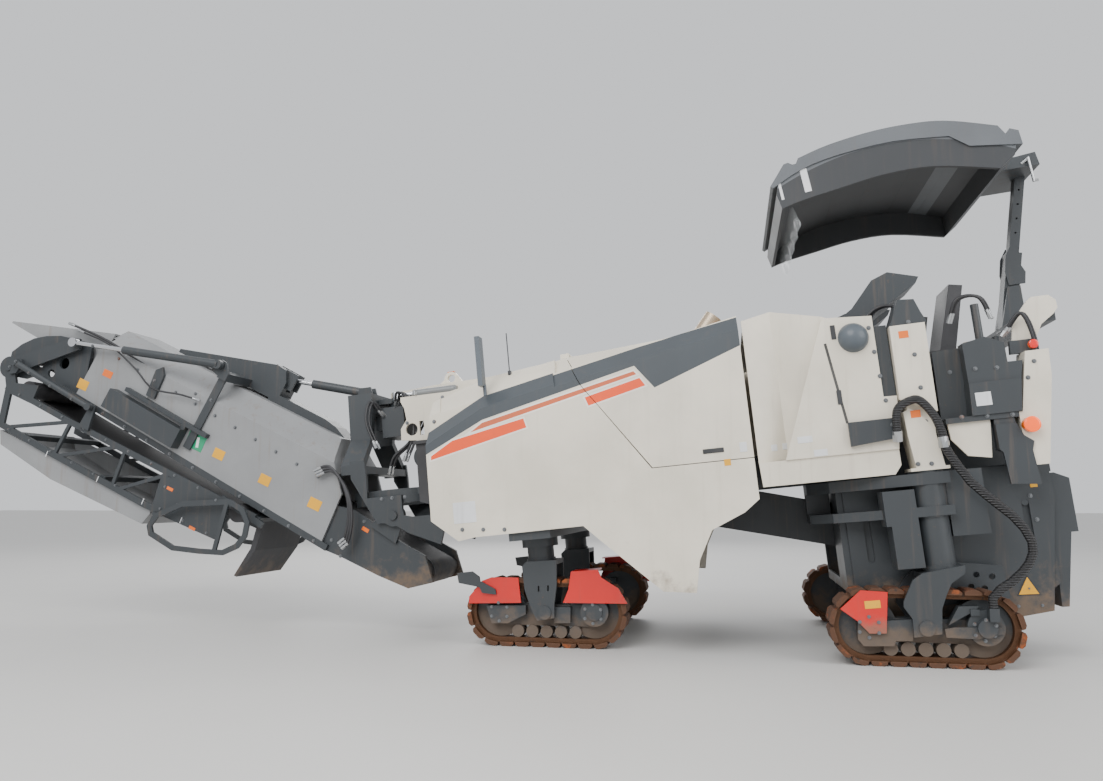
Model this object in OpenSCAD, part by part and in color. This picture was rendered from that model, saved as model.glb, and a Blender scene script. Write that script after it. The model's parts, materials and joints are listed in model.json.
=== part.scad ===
// Compact cold planer on four tracks, with a folding discharge conveyor.
// Millimetres. +X is forward, +Y is the machine's left, +Z is up, the ground is z = 0.
// The chassis is drawn level, with x = 0 at the rear rocking pivot, and on_chassis()
// then leans it nose down, because the rear legs stand further out than the front ones.

/* [Stance] */
// Distance between the rocking pivots of the rear and front tracks
leg_base = 2850; // [2750:10:2950]
// How far the rear legs are out
rear_leg_out = 603; // [590:1:610]
// How far the front legs are out
front_leg_out = 330; // [325:1:340]
// Height of the rocking pivots over the ground
pivot_z = 280; // [276:1:284]
// Middle of the front tracks from the centre line
front_track_y = 850; // [830:5:870]
// Room between the drum's side plate and the middle of the swung-out left rear track
rear_left_room = 270; // [265:5:290]
// Middle of the right rear track
rear_right_y = 1110; // [1080:5:1120]
// Distance from the rear rocking pivot to the middle of the machine's length
mid_x = 3710; // [3600:10:4100]

/* [Tracks] */
// Length of a track over its pads
track_len = 1330; // [1300:10:1350]
// Height of a track over its pads
track_h = 550; // [546:1:554]
// Width of the track pads
shoe_w = 260; // [240:5:264]
// Number of shoes on a track
shoe_n = 24; // [20:1:28]
// Height of the pads over the chain
pad_t = 26; // [20:1:32]
// Thickness of the chain
chain_t = 44; // [36:1:50]

/* [Milling drum] */
// Cutting width
drum_w = 1300; // [1200:10:1306]
// Middle of the drum, left of the centre line
drum_y = 210; // [200:5:220]
// Cutting circle over the tool tips
drum_d = 980; // [960:5:990]
// Outside of the drum tube
drum_tube_d = 760; // [740:5:770]
// Drum axis behind the rear rocking pivot
drum_x = -300; // [-310:5:-290]
// Height of the drum axis
drum_z = 850; // [840:5:860]
// Tools on each helix
tools_per_row = 14; // [12:1:18]
// Thickness of the drum housing's walls
housing_t = 20; // [15:1:20]

/* [Body] */
// Width over the side panels
body_w = 2500; // [2480:10:2520]
// Thickness of the sheet panels
panel_t = 28; // [20:1:30]
// Height of the operator's floor
floor_z = 1760; // [1750:5:1770]
// Gap round the engine hood
seam = 6; // [5:1:10]

/* [Discharge conveyor] */
// Slope of the conveyor over the ground
conveyor_slope = 28; // [27:0.5:29]
// Width of the inner section's cover
conveyor_w = 1000; // [960:10:1000]
// Length of the inner section, from the lift pins to the fold hinge
inner_len = 4420; // [4400:10:4440]
// Length of the outer section
outer_len = 3300; // [3200:10:3350]
// Angle between the folded outer section and the inner one
fold_splay = 5; // [4.5:0.5:6]
// Width of the belts
belt_w = 600; // [560:10:620]

/* [Canopy] */
// Width of the canopy
canopy_w = 1900; // [1800:10:1940]

/* [Hidden] */
$fn = 64;
pitch = asin((rear_leg_out - front_leg_out) / leg_base);
half_w = body_w / 2;
fit = 0.3;
drum_room = 30;
housing_y = [drum_y - drum_w / 2 - drum_room, drum_y + drum_w / 2 + drum_room];
rear_left_y = housing_y[1] + rear_left_room;

cream = "antiquewhite";
slate = "dimgray";
dark = "darkslategray";
cover_grey = "darkgray";

// Leans what is drawn on the level chassis
module on_chassis()
  translate([-mid_x, 0, pivot_z])
    rotate([0, pitch, 0])
      translate([0, 0, -pivot_z])
        children();

// Extrudes a side view, drawn in x and z, from y0 to y1
module slab(y0, y1)
  translate([0, y1, 0])
    rotate([90, 0, 0])
      linear_extrude(y1 - y0)
        children();

// A slab on both sides of the centre line
module both_slabs(y0, y1)
  for (side = [-1, 1])
    slab(side > 0 ? y0 : -y1, side > 0 ? y1 : -y0)
      children();

module block(x, y, z)
  translate([x[0], y[0], z[0]])
    cube([x[1] - x[0], y[1] - y[0], z[1] - z[0]]);

module pair()
  for (side = [0, 1])
    mirror([0, side, 0])
      children();

module rod_y(d, y0, y1)
  translate([0, y1, 0])
    rotate([90, 0, 0])
      cylinder(d = d, h = y1 - y0);

// A flat bar between two points of a side view
module bar(a, b, w)
  translate(a)
    rotate(atan2(b[1] - a[1], b[0] - a[0]))
      translate([0, -w / 2])
        square([norm(b - a), w]);

// Two circles joined by straight runs, as a belt or a track has
module stadium(a, b, r)
  translate(a)
    rotate(atan2(b[1] - a[1], b[0] - a[0])) {
      circle(r);
      translate([norm(b - a), 0]) circle(r);
      translate([0, -r]) square([norm(b - a), 2 * r]);
    }

module belt_loop(a, b, r, t)
  translate([a[0], 0, a[1]])
    rotate([0, -atan2(b[1] - a[1], b[0] - a[0]), 0])
      slab(-belt_w / 2, belt_w / 2)
        difference() {
          stadium([0, 0], [norm(b - a), 0], r + t);
          stadium([0, 0], [norm(b - a), 0], r);
        }

// Body shell: the shoulder falls to the nose with the broad hump on it, and the ridge that
// carries the hood's hinge runs along the middle
shell_back = 1040;
shell_front = 3660;
shoulder = [[1040, 2755], [1650, 2635], [2400, 2510], [3160, 2360], [3660, 2105]]; // [x, top]
shoulder_chamfer = 115;
hump_w = 2200;
hump_chamfer = 140;
hump_top = [[1040, 2760], [1650, 2676], [2500, 2634], [2680, 2595], [3180, 2555], [3660, 2385]];
ridge_w = 920;
ridge_top = [[1040, 2765], [2500, 2690], [3300, 2620], [3660, 2545]];
panel_low = [[3660, 1370], [3440, 1190], [3300, 1210], [2410, 1220], [2290, 1100],
             [1840, 670], [1590, 640], [1540, 880], [1420, 1100], [1160, 1210], [1040, 1300]];
hood_line = [[1820, 1620], [2190, 2150], [2310, 2320], [2400, 2500], [2560, 2800]];
hood_hinge = [2540, 2735];

module under_line(line, inset)
  polygon(concat([for (p = line) [min(p[0], shell_front - inset), p[1] - inset]],
    [[shell_front - inset, 0], [shell_back, 0]]));

// A slab under the line, w wide to each side, with its long upper edges cut off at 45 degrees
module bevelled(line, w, inset, chamfer)
  difference() {
    slab(-w, w) under_line(line, inset);
    for (i = [0 : len(line) - 2])
      pair()
        translate([line[i][0], w, line[i][1] - inset - chamfer])
          rotate([0, atan2(line[i][1] - line[i + 1][1], line[i + 1][0] - line[i][0]), 0])
            rotate([45, 0, 0])
              translate([-900, 0, -400])
                cube([norm(line[i + 1] - line[i]) + 1800, 400, 1000]);
  }

module body_form(inset)
  intersection() {
    union() {
      bevelled(shoulder, half_w - inset, inset, shoulder_chamfer);
      bevelled(hump_top, hump_w / 2 - inset, inset, hump_chamfer);
      slab(-ridge_w / 2 + inset, ridge_w / 2 - inset) under_line(ridge_top, inset);
    }
    slab(-half_w, half_w) polygon(concat(panel_low, [[shell_back, 3000], [shell_front, 3000]]));
  }

module shell()
  difference() {
    body_form(0);
    body_form(panel_t);
    block([3400, 3700], [-580, 580], [1000, 2480]);
  }

module hood() color(cream) {
  on_chassis() {
    intersection() {
      shell();
      slab(-half_w - 10, half_w + 10)
        polygon(concat([[shell_back, 1620]], hood_line, [[shell_back, 3000]]));
    }
    for (y = [-400, 400])
      difference() {
        union() {
          translate([hood_hinge[0], 0, hood_hinge[1]]) rod_y(50, y - 40, y + 40);
          block([hood_hinge[0] - 120, hood_hinge[0] - 10], [y - 40, y + 40],
                [2692, hood_hinge[1] - 10]);
        }
        translate([hood_hinge[0], 0, hood_hinge[1]]) rod_y(20.2, y - 50, y + 50);
      }
  }
}

module front_shell() color(cream)
  on_chassis() {
    difference() {
      shell();
      slab(-half_w - 10, half_w + 10)
        polygon(concat([[900, 1620 - seam]], [for (p = hood_line) p + [seam, p[1] < 1700 ? -seam : 0]],
                       [[900, 3000]]));
    }
    for (y = [-400, 400]) {
      translate([hood_hinge[0], 0, hood_hinge[1]]) rod_y(20, y - 70, y + 70);
      for (e = [-70, 45])
        block([hood_hinge[0] - 20, hood_hinge[0] + 60], [y + e, y + e + 25],
              [2675, hood_hinge[1] + 15]);
    }
  }

module rear_shell() color(cream)
  on_chassis() {
    both_slabs(half_w - panel_t, half_w)
      polygon([[810, 1570], [410, 2620], [46, 2590], [46, 1968], [-50, 1965], [-10, 1570]]);
    pair()
      intersection() {
        translate([0, 0, 1570]) linear_extrude(1200)
          polygon([[1010, 1200], [780, 1095], [410, 1222], [330, 1222], [330, 1190], [780, 1065],
                   [1010, 1170]]);
        slab(0, half_w) polygon([[1010, 1570], [1010, 2690], [780, 2755], [410, 2640], [330, 2600],
                                 [330, 1570]]);
      }
    both_slabs(1150, half_w - 15)
      polygon([[40, 1385], [1000, 1385], [1010, 1570], [-10, 1570], [-10, 1450]]);
    block([460, 490], [-1165, 1165], [1660, 2600]);
    both_slabs(beam_y + beam_w + 5, 1165)
      polygon([[460, 1570], [490, 1570], [490, 1660], [460, 1660]]);
    block([460, 1010], [-1060, 1060], [2600, 2625]);
  }

module engine_block() color("gray")
  on_chassis()
    block([1150, 2000], [-640, 640], [1660, 2420]);

// Chassis beams, front cross beam with leg guides, and the lower slewing ring
slew_x = 4300;
ring_z = 1640;
beam_y = 470;
beam_w = 90;
beam_low = 1382;
front_leg_x = leg_base * cos(pitch) + 20;
rear_leg_x = -180;
module main_frame() color(slate)
  on_chassis() {
    both_slabs(beam_y, beam_y + beam_w)
      polygon([[-980, beam_low], [3600, beam_low], [3600, ring_z], [3300, 1660 - fit],
               [-980, 1660 - fit]]);
    block([3520, 3600], [-560, 560], [beam_low, ring_z]);
    both_slabs(beam_y, beam_y + beam_w)
      polygon([[3500, beam_low + 60], [3600, beam_low + 60], [3940, ring_z], [3940, ring_z + 60],
               [3500, ring_z + 60]]);
    pair()
      translate([0, 0, ring_z]) linear_extrude(60)
        polygon([[3520, 430], [3520, 560], [3940, 560], [4016, 454], [4100, 454], [4100, 330],
                 [3800, 330], [3800, 430]]);
    translate([slew_x, 0, ring_z])
      difference() {
        cylinder(r = 520, h = 60);
        translate([0, 0, -1]) cylinder(r = 360, h = 62);
        block([-600, 0], [-330, 330], [-1, 61]);
      }
    block([860, 960], [-1150 + fit, 1150 - fit], [1400, 1560]);
    difference() {
      union() {
        block([front_leg_x - 170, front_leg_x + 170],
              [-half_w + panel_t + fit, half_w - panel_t - fit], [1150, beam_low]);
        for (side = [-1, 1])
          translate([front_leg_x, side * front_track_y, 1080]) cylinder(d = 300, h = 640);
      }
      for (side = [-1, 1])
        translate([front_leg_x, side * front_track_y, 1000]) cylinder(d = 220.2, h = 380);
    }
    block([rear_leg_x - 160, rear_leg_x + 160], [-1240, -beam_y - 35], [1270, 1392 - fit]);
    translate([rear_leg_x, -rear_right_y, 1050]) cylinder(d = 280, h = 240);
    // arms of the swing-out leg
    for (z = [[1060, 1130], [1290, 1375]])
      translate([0, 0, z[0]])
        linear_extrude(z[1] - z[0])
          polygon([[-320, rear_left_y - 130], [-320, rear_left_y + 130], [-50, rear_left_y + 130],
                   [500, 1010], [650, 760], [650, 470], [465, 470], [465, 930],
                   [0, rear_left_y - 130]]);
    translate([rear_leg_x, rear_left_y, 1050]) cylinder(d = 250, h = 342 - fit);
    block([-60, 130], [rear_left_y - 100, rear_left_y + 130], [700, 1060]);
    block([-60, 165], [rear_left_y - 100, rear_left_y + 130], [1010, 1265]);
    block([-560, -300], [rear_left_y - 130, rear_left_y + 40], [900, 1375]);
    block([465, 650], [beam_y, beam_y + beam_w], [1060, beam_low]);
  }

// Steering journals under the leg guides
module leg_columns() color(dark)
  on_chassis() {
    for (side = [-1, 1])
      translate([front_leg_x, side * front_track_y, front_neck_z + fit])
        cylinder(d = 220, h = 1379 - front_neck_z - fit);
    for (y = [rear_left_y, -rear_right_y])
      translate([rear_leg_x, y, rear_neck_z + fit])
        cylinder(d = 230, h = 1050 - rear_neck_z - fit);
  }

// Cream covers over the rear leg columns
module column_covers() color(cream)
  on_chassis()
    for (y = [rear_left_y + 10, -rear_right_y - 10]) {
      block([-280, -105], [y - 80, y + 80], [1415, 2400]);
      slab(y - 122, y + 122) {
        polygon([[-61, 2484], [-312, 2484], [-307, 1814], [-56, 1928]]);
        polygon([[-113, 1859], [-67, 1830], [-74, 1662], [-100, 1415], [-300, 1415], [-265, 1685],
                 [-179, 1806]]);
      }
      block([-330, -60], [y - 124, y + 124], [1392, 1415]);
    }

module rear_posts() color(cream)
  on_chassis() {
    both_slabs(1085, 1110)
      polygon([[-400, floor_z - 40], [-700, floor_z - 40], [-690, 1600], [-672, 1441], [-509, 1471],
               [-411, 1600]]);
    both_slabs(930, 1130)
      polygon([[-900, 1755], [-900, 1400], [-947, 1357], [-1049, 1357], [-1163, 1999],
               [-1174, 2199], [-1011, 2199], [-926, 1755]]);
    both_slabs(960, 990)
      polygon([[-981, 2309], [-1003, 2446], [-1130, 2600], [-1164, 2624], [-1285, 2624],
               [-1330, 2580], [-1335, 2520], [-1298, 2475], [-1203, 2407], [-1141, 2287]]);
  }

module platform() color(dark)
  on_chassis() {
    block([-890, 455], [-990, 990], [floor_z - 40, floor_z]);
    block([-890, -385], [-1140, 1140], [floor_z - 40, floor_z]);
    block([-890, 300], [-beam_y - beam_w, -beam_y], [1660, floor_z - 40]);
    block([-890, 300], [beam_y, beam_y + beam_w], [1660, floor_z - 40]);
    block([-890, -860], [-990, 990], [floor_z, floor_z + 600]);
    pair() block([-900 + fit, -880], [930, 1130], [floor_z - 40, floor_z]);
  }

module operator_seats() color(dark)
  on_chassis()
    for (y = [-620, 620]) {
      block([-520, -200], [y - 60, y + 60], [floor_z, floor_z + 430]);
      block([-620, -150], [y - 230, y + 230], [floor_z + 430, floor_z + 560]);
      slab(y - 210, y + 210)
        polygon([[-620, floor_z + 560], [-500, floor_z + 560], [-640, floor_z + 1080],
                 [-740, floor_z + 1060]]);
    }

module consoles() color(dark)
  on_chassis() {
    both_slabs(250, 900)
      polygon([[455, floor_z], [250, floor_z], [200, 2350], [60, 2560], [180, 2700], [455, 2600]]);
    both_slabs(400, 860)
      polygon([[180, 2700], [60, 2560], [-40, 2660], [-390, 2880], [-420, 2930], [-190, 3000],
               [-60, 2950], [120, 2740]]);
  }

module side_cabinets() color(slate)
  on_chassis() {
    both_slabs(1000, 1130)
      polygon([[-587, 2001], [-587, 2312], [-751, 2343], [-879, 2285], [-881, 2136], [-985, 2134],
               [-955, 2001]]);
    both_slabs(1000, 1155)
      polygon([[-572, floor_z], [-583, 2002], [-950, 2002], [-915, floor_z]]);
    both_slabs(985, 1010)
      polygon([[-392, 2291], [-606, 2298], [-589, floor_z], [-386, floor_z]]);
    both_slabs(990 + fit, 1030)
      polygon([[-940, 2199 + fit], [-1140, 2199 + fit], [-1132, 2300], [-948, 2300]]);
    both_slabs(1060, 1130)
      polygon([[-719, floor_z - 40], [-860, floor_z - 40], [-890, 1531], [-880, 1467], [-742, 1480],
               [-720, 1494]]);
    both_slabs(1130 + fit, 1155)
      polygon([[-719, 1681], [-862, 1675], [-900, 1580], [-962, 1531], [-942, 1467], [-963, 1216],
               [-759, 1237], [-742, 1470], [-720, 1494]]);
    both_slabs(1120, 1140)
      polygon([[-730, 1660], [-850, 1660], [-870, 1540], [-740, 1500]]);
    both_slabs(1150, half_w - panel_t - fit)
      polygon([[-50, 1968], [120, 1968], [120, 2510], [-50, 2510]]);
    pair() translate([-735, 1060, 2320]) cylinder(d = 60, h = 290);
    for (y = [rear_left_y + 10, -rear_right_y - 10])
      slab(y - 115, y + 115)
        polygon([[-61, 2484 + fit], [-77, 2509], [-127, 2630], [-145, 2680], [-262, 2669], [-299, 2560],
                 [-327, 2498], [-320, 2484 + fit]]);
    both_slabs(half_w, half_w + 40)
      polygon([[330, 1620], [-20, 1650], [0, 1800], [330, 1800]]);
  }

module nose_bracket() color(cream)
  on_chassis() {
    both_slabs(425, 455)
      difference() {
        polygon([[shell_front, 2100], [4168, 2142], [4165, 2250], [4105, 2330], [4120, 2440],
                 [4150, 2500], [4150, 2520], [shell_front, 2520]]);
        translate([4060, 2235]) circle(58);
        translate([3960, 2240]) square([44, 130], center = true);
      }
    block([shell_front, 4150], [-455, 455], [2520, 2545]);
    difference() {
      union() {
        slab(-90, 90)
          polygon([[slew_x, 2605], [slew_x, 2660], [3935, 2685], [3560, 2692], [3150, 2700],
                   [3150, 2660], [3500, 2640], [3560, 2590], [3665, 2556], [3665, 2545],
                   [3940, 2545], [4040, 2605]]);
        translate([slew_x, 0, 2605]) cylinder(r = 110, h = 55);
      }
      translate([slew_x, 0, 2500]) cylinder(d = 80.2, h = 200);
    }
    slab(-25, 25)
      difference() {
        union() {
          polygon([[3620, 2640], [3950, 2650], [3850, 2730], [3700, 2750]]);
          translate([3775, 2735]) circle(70);
        }
        translate([3775, 2740]) circle(38);
      }
  }

// Ribbed hoses from the rear legs down to the drive motors, one turning with each track
hose_d = 64;
hose_route = [[-300, 1345, 1560], [-330, 1345, 1484], [-370, 1348, 1400], [-438, 1350, 1277],
              [-520, 1350, 1180], [-602, 1350, 1092], [-675, 1350, 1015], [-735, 1350, 925],
              [-771, 1350, 827], [-765, 1350, 750], [-730, 1350, 680], [-675, 1345, 620],
              [-600, 1338, 560], [-520, 1334, 515], [-462, 1330, 460], [-455, 1330, 390]];
hose_sides = 10;
function hose_way(i) = let (a = hose_route[max(i - 1, 0)], b = hose_route[min(i + 1, len(hose_route) - 1)])
  (b - a) / norm(b - a);
function hose_ring(i) = let (t = hose_way(i), n = cross([0, 1, 0], t), u = n / norm(n), v = cross(t, u))
  [for (k = [0 : hose_sides - 1]) let (a = k * 360 / hose_sides)
    hose_route[i] + hose_d / 2 * (u * cos(a) + v * sin(a))];
module hose_sweep() {
  n = len(hose_route);
  points = [for (i = [0 : n - 1], p = hose_ring(i)) p];
  sides = [for (i = [0 : n - 2], k = [0 : hose_sides - 1])
    let (l = (k + 1) % hose_sides)
      [i * hose_sides + k, (i + 1) * hose_sides + k, (i + 1) * hose_sides + l, i * hose_sides + l]];
  first = [for (k = [0 : hose_sides - 1]) k];
  last = [for (k = [hose_sides - 1 : -1 : 0]) (n - 1) * hose_sides + k];
  polyhedron(points, concat(sides, [first, last]));
}

module leg_hose(side) color("#1b1b1d")
  on_chassis()
    mirror([0, side < 0 ? 1 : 0, 0])
      translate([0, side > 0 ? rear_left_y - 1160 : rear_right_y - 1160, 0])
        hose_sweep();

module exhaust() color("tan")
  on_chassis()
    difference() {
      translate([1330, -300, 2731])
        difference() {
          union() {
            cylinder(d = 170, h = 190);
            translate([0, 0, 190]) rotate([0, -40, 0]) cylinder(d = 170, h = 200);
            translate([0, 0, 190]) sphere(d = 170);
          }
          translate([0, 0, 190]) rotate([0, -40, 0]) translate([0, 0, 60]) cylinder(d = 150, h = 200);
        }
      slab(-500, 0) under_line(ridge_top, -fit);
    }

module primary_conveyor() color(dark)
  on_chassis()
    translate([330, 0, 1000])
      rotate([0, -15, 0]) {
        both_slabs(395, 420)
          polygon([[-40, -170], [3700, -205], [3830, -60], [3830, 200], [-40, 170]]);
        belt_loop([0, 0], [3830 - 60, 0], 110, 12);
        for (x = [0, 3830 - 60]) translate([x, 0, 0]) rod_y(219.4, -395, 395);
        for (x = [1750, 2350]) translate([x, 0, 0]) rod_y(90, -beam_y + 0.1, beam_y - 0.1);
      }

module rubber_apron() color("#1b1b1d")
  on_chassis() {
    both_slabs(560 + fit, 570)
      polygon([[shell_front, 1450], [3990, 1560], [3990, 2080], [shell_front, 2080]]);
    both_slabs(560 + fit, 595)
      polygon([[shell_front, 2080], [4010, 2080], [4010, 2110], [shell_front, 2110]]);
  }

// Drum housing, open below and with a mouth towards the primary conveyor
module housing_side()
  polygon([[450, beam_low], [450, 520], [250, 330], [-850, 330], [-1060, 480], [-1060, beam_low]]);
module drum_housing() color(slate)
  on_chassis() {
    difference() {
      slab(housing_y[0], housing_y[1]) housing_side();
      slab(housing_y[0] + housing_t, housing_y[1] - housing_t)
        polygon([[450 - housing_t, beam_low - housing_t], [450 - housing_t, 0],
                 [-1060 + housing_t, 0], [-1060 + housing_t, beam_low - housing_t]]);
      block([400, 500], [-430, 430], [600, 1300]);
      block([-1100, -1000], [housing_y[0] + 30, housing_y[1] - 30], [0, 840]);
      translate([drum_x, 0, drum_z]) rod_y(260.1, housing_y[0] - 1, housing_y[1] + 1);
    }
    for (x = [-900, 250])
      translate([x, 0, 1090]) {
        rod_y(50, housing_y[1], housing_y[1] + 24);
        translate([0, 0, -120]) rod_y(50, housing_y[0] - 24, housing_y[0]);
      }
    for (y = [[housing_y[0] + 40, housing_y[0] + 90], [housing_y[1] - 90, housing_y[1] - 40]])
      block([-1135, -1060], y, [1300, beam_low]);
    translate([-1110, 0, 1335]) rod_y(30, housing_y[0] + 40, housing_y[1] - 40);
  }

module tool()
  union() {
    translate([-40, -30, -30]) cube([80, 60, 70]);
    translate([0, 0, 30])
      rotate([0, -50, 0])
        cylinder(d1 = 46, d2 = 12, h = (drum_d - drum_tube_d - 80) / 2 / cos(50) - 18);
  }

module milling_drum() color("#5a4a40")
  on_chassis()
    translate([drum_x, (housing_y[0] + housing_y[1]) / 2, drum_z]) {
      rod_y(drum_tube_d, -drum_w / 2, drum_w / 2);
      rod_y(260, -(housing_y[1] - housing_y[0]) / 2, (housing_y[1] - housing_y[0]) / 2);
      for (row = [0 : 2], i = [0 : tools_per_row - 1])
        translate([0, (i + 0.5) / tools_per_row * (drum_w - 80) - (drum_w - 80) / 2, 0])
          rotate([0, row * 120 + i * 200 / tools_per_row, 0])
            translate([0, 0, drum_tube_d / 2 + 10])
              tool();
    }

module plate_slots(top)
  for (x = [-900, 250])
    stadium([x, top], [x, top - 330], 26);

module side_plate_left() color(slate)
  on_chassis()
    slab(housing_y[1] + 5, housing_y[1] + 25)
      difference() {
        polygon([[400, 1380], [400, 560], [150, 260], [-764, 260], [-976, 285], [-1111, 1116],
                 [-1100, 1370], [-380, 1380]]);
        plate_slots(1090);
      }

module side_plate_right() color(slate)
  on_chassis()
    slab(housing_y[0] - 25, housing_y[0] - 5)
      difference() {
        polygon([[400, 1036], [400, 560], [150, 260], [-720, 260], [-950, 300], [-1090, 480],
                 [-1090, 1036]]);
        plate_slots(970);
      }

module scraper_gate() color(slate)
  on_chassis()
    difference() {
      union() {
        slab(housing_y[0] + 30, housing_y[1] - 30)
          polygon([[-1072, 1290], [-1150, 1290], [-1250, 1240], [-1250, 840], [-1200, 840],
                   [-1100, 300], [-1050, 300], [-1072, 840]]);
        translate([-1110, 0, 1335]) rod_y(60, housing_y[0] + 100, housing_y[1] - 100);
        slab(housing_y[0] + 100, housing_y[1] - 100)
          polygon([[-1135, 1335], [-1085, 1335], [-1080, 1280], [-1140, 1280]]);
      }
      translate([-1110, 0, 1335]) rod_y(30.2, housing_y[0] - 30, housing_y[1] + 10);
    }

// Tracks
wheel_r = track_h / 2 - pad_t - chain_t;
wheel_gap = track_len - track_h;
front_neck_z = 985;
rear_neck_z = 705;
loop_mid = track_h / 2 - pad_t;
loop_length = 2 * wheel_gap + 2 * PI * loop_mid;

// Place and direction on the track's loop at a distance s, as [x, z, angle]
function on_loop(s) =
  s < wheel_gap ? [s - wheel_gap / 2, -loop_mid, 180] :
  s < wheel_gap + PI * loop_mid ?
    let (a = (s - wheel_gap) / loop_mid * 180 / PI)
      [wheel_gap / 2 + loop_mid * sin(a), -loop_mid * cos(a), 180 - a] :
  s < 2 * wheel_gap + PI * loop_mid ?
    [wheel_gap / 2 - (s - wheel_gap - PI * loop_mid), loop_mid, 0] :
    let (a = (s - 2 * wheel_gap - PI * loop_mid) / loop_mid * 180 / PI)
      [-wheel_gap / 2 - loop_mid * sin(a), loop_mid * cos(a), -a];

// Puts a track at its rocking pivot
module on_pivot(x, y)
  translate([x - mid_x, y, pivot_z])
    children();

module track_loop(x, y) color("#8a5a2c")
  on_pivot(x, y)
    translate([0, 0, track_h / 2 - pivot_z]) {
      slab(-shoe_w / 2 + 40, shoe_w / 2 - 40)
        difference() {
          stadium([-wheel_gap / 2, 0], [wheel_gap / 2, 0], loop_mid + 2);
          stadium([-wheel_gap / 2, 0], [wheel_gap / 2, 0], wheel_r);
        }
      for (i = [0 : shoe_n - 1]) {
        p = on_loop((i + 0.5) * loop_length / shoe_n);
        translate([p[0], 0, p[1]])
          rotate([0, p[2], 0])
            slab(-shoe_w / 2, shoe_w / 2)
              polygon([[-56, -12], [56, -12], [56, 10], [34, pad_t], [-34, pad_t], [-56, 10]]);
      }
    }

// Frame inside the loop, with the fork that carries it. Outwards is +Y here
fork_y = shoe_w / 2 + 10;
fork_t = 25;
front_fork = [[190, 368], [155, 405], [-95, 423], [-100, 230], [-80, 73], [-80, -40], [62, -65],
              [122, 54], [168, 182]];
rear_fork = [[149, 186], [81, 336], [16, 384], [-275, 448], [-272, 389], [-178, 317],
             [-140, 233], [-107, 139], [-98, -37], [90, -66], [95, 63], [151, 144]];
module track_frame(x, y, neck_x, neck_z, front) color(slate) {
  on_pivot(x, y)
    mirror([0, y < 0 ? 1 : 0, 0]) {
      translate([0, 0, track_h / 2 - pivot_z]) {
        for (e = [-1, 1])
          translate([e * wheel_gap / 2, 0, 0]) rod_y(2 * wheel_r - 0.6, -40, 40);
        slab(-60, 60)
          polygon([[-wheel_gap / 2, -110], [wheel_gap / 2, -110], [wheel_gap / 2 - 60, 60],
                   [-wheel_gap / 2 + 60, 60]]);
        for (r = [-2 : 2])
          translate([r * 120, 0, -wheel_r + 50.3]) rod_y(100, -45, 85);
        for (e = [-1, 1])
          translate([e * 330, 0, 120]) slab(-fork_y, fork_y) square([60, 44], center = true);
      }
      translate([-wheel_gap / 2 - 12, 0, 8]) {
        rod_y(front ? 226 : 250, 30, shoe_w / 2 - 6);
        rod_y(130, 30, shoe_w / 2 + (front ? 4 : 36));
      }
      if (front) {
        slab(shoe_w / 2 + 22 + 2 * fit, shoe_w / 2 + 42) {
          polygon([[744, 304], [727, 224], [535, 191], [551, 278], [613, 320]]);
          polygon([[560, 215], [526, 148], [405, 136], [413, 179], [535, 240]]);
        }
        slab(50, 122) polygon([[501, 42], [167, 50], [167, -22], [318, -97], [454, -101]]);
        slab(50, 118) polygon([[-72, 41], [-205, 45], [-204, -83], [-72, -86]]);
      } else {
        slab(50, 125)
          polygon([[464, 23], [75, 58], [94, -97], [208, -100], [222, -136], [430, -143],
                   [469, -96]]);
        slab(50, 125) polygon([[-151, 20], [-225, 154], [-360, 160], [-340, 130], [-267, 90]]);
        slab(135, 200) polygon([[-475, 60], [-410, 60], [-410, 152.6], [-475, 152.6]]);
        slab(120, fork_y)
          polygon([[-122, -5], [-190, 9], [-501, 18], [-509, -29], [-342, -68], [-130, -63]]);
        slab(-fork_y - fork_t, -fork_y)
          difference() {
            polygon([[-178, 317], [-275, 448], [-600, 428], [-650, 200], [-560, 150],
                     [-300, 150], [-140, 120]]);
            for (h = [[-422, 359], [-530, 348], [-382, 270], [-474, 260]])
              translate(h) circle(22);
          }
      }
      for (side = [0, 1])
        mirror([0, side, 0])
          slab(fork_y, fork_y + fork_t)
            difference() {
              polygon(front ? front_fork : rear_fork);
              if (front)
                for (h = [[50, 190], [-28, 196]]) translate(h) square([14, 44], center = true);
            }
      slab(-fork_y - fork_t, fork_y + fork_t)
        polygon(front ? [[155, 405], [-95, 423], [-95, 385], [155, 367]]
                      : [[16, 384], [-275, 448], [-275, 410], [16, 346]]);
      rod_y(110, -fork_y - fork_t - 10, fork_y + fork_t + 10);
    }
  on_chassis()
    translate([neck_x, y, neck_z - 50])
      cylinder(d = 240, h = 50);
}

module guard_plate(side) {
  w = shoe_w / 2 + 10 + fit;
  slab(side > 0 ? w : -w - 12, side > 0 ? w + 12 : -w)
    children();
}

module track_guard(x, y, side, front) color("red")
  on_pivot(x, y) {
    guard_plate(side)
      if (front) {
        polygon([[642, 114], [528, 246], [452, 274], [224, 274], [200, 73], [642, 59]]);
        polygon([[-216, 331], [-437, 349], [-465, 286], [-602, 203], [-673, 86], [-150, 81],
                 [-194, 188]]);
      } else
        polygon([[587, 120], [441, 256], [255, 247], [274, -44], [390, -48], [473, 39]]);
    if (front)
      slab(side > 0 ? -80 : -fork_y - 12, side > 0 ? fork_y + 12 : 80)
        polygon([[-216, 331], [-437, 349], [-437, 339], [-216, 321]]);
  }

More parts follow.
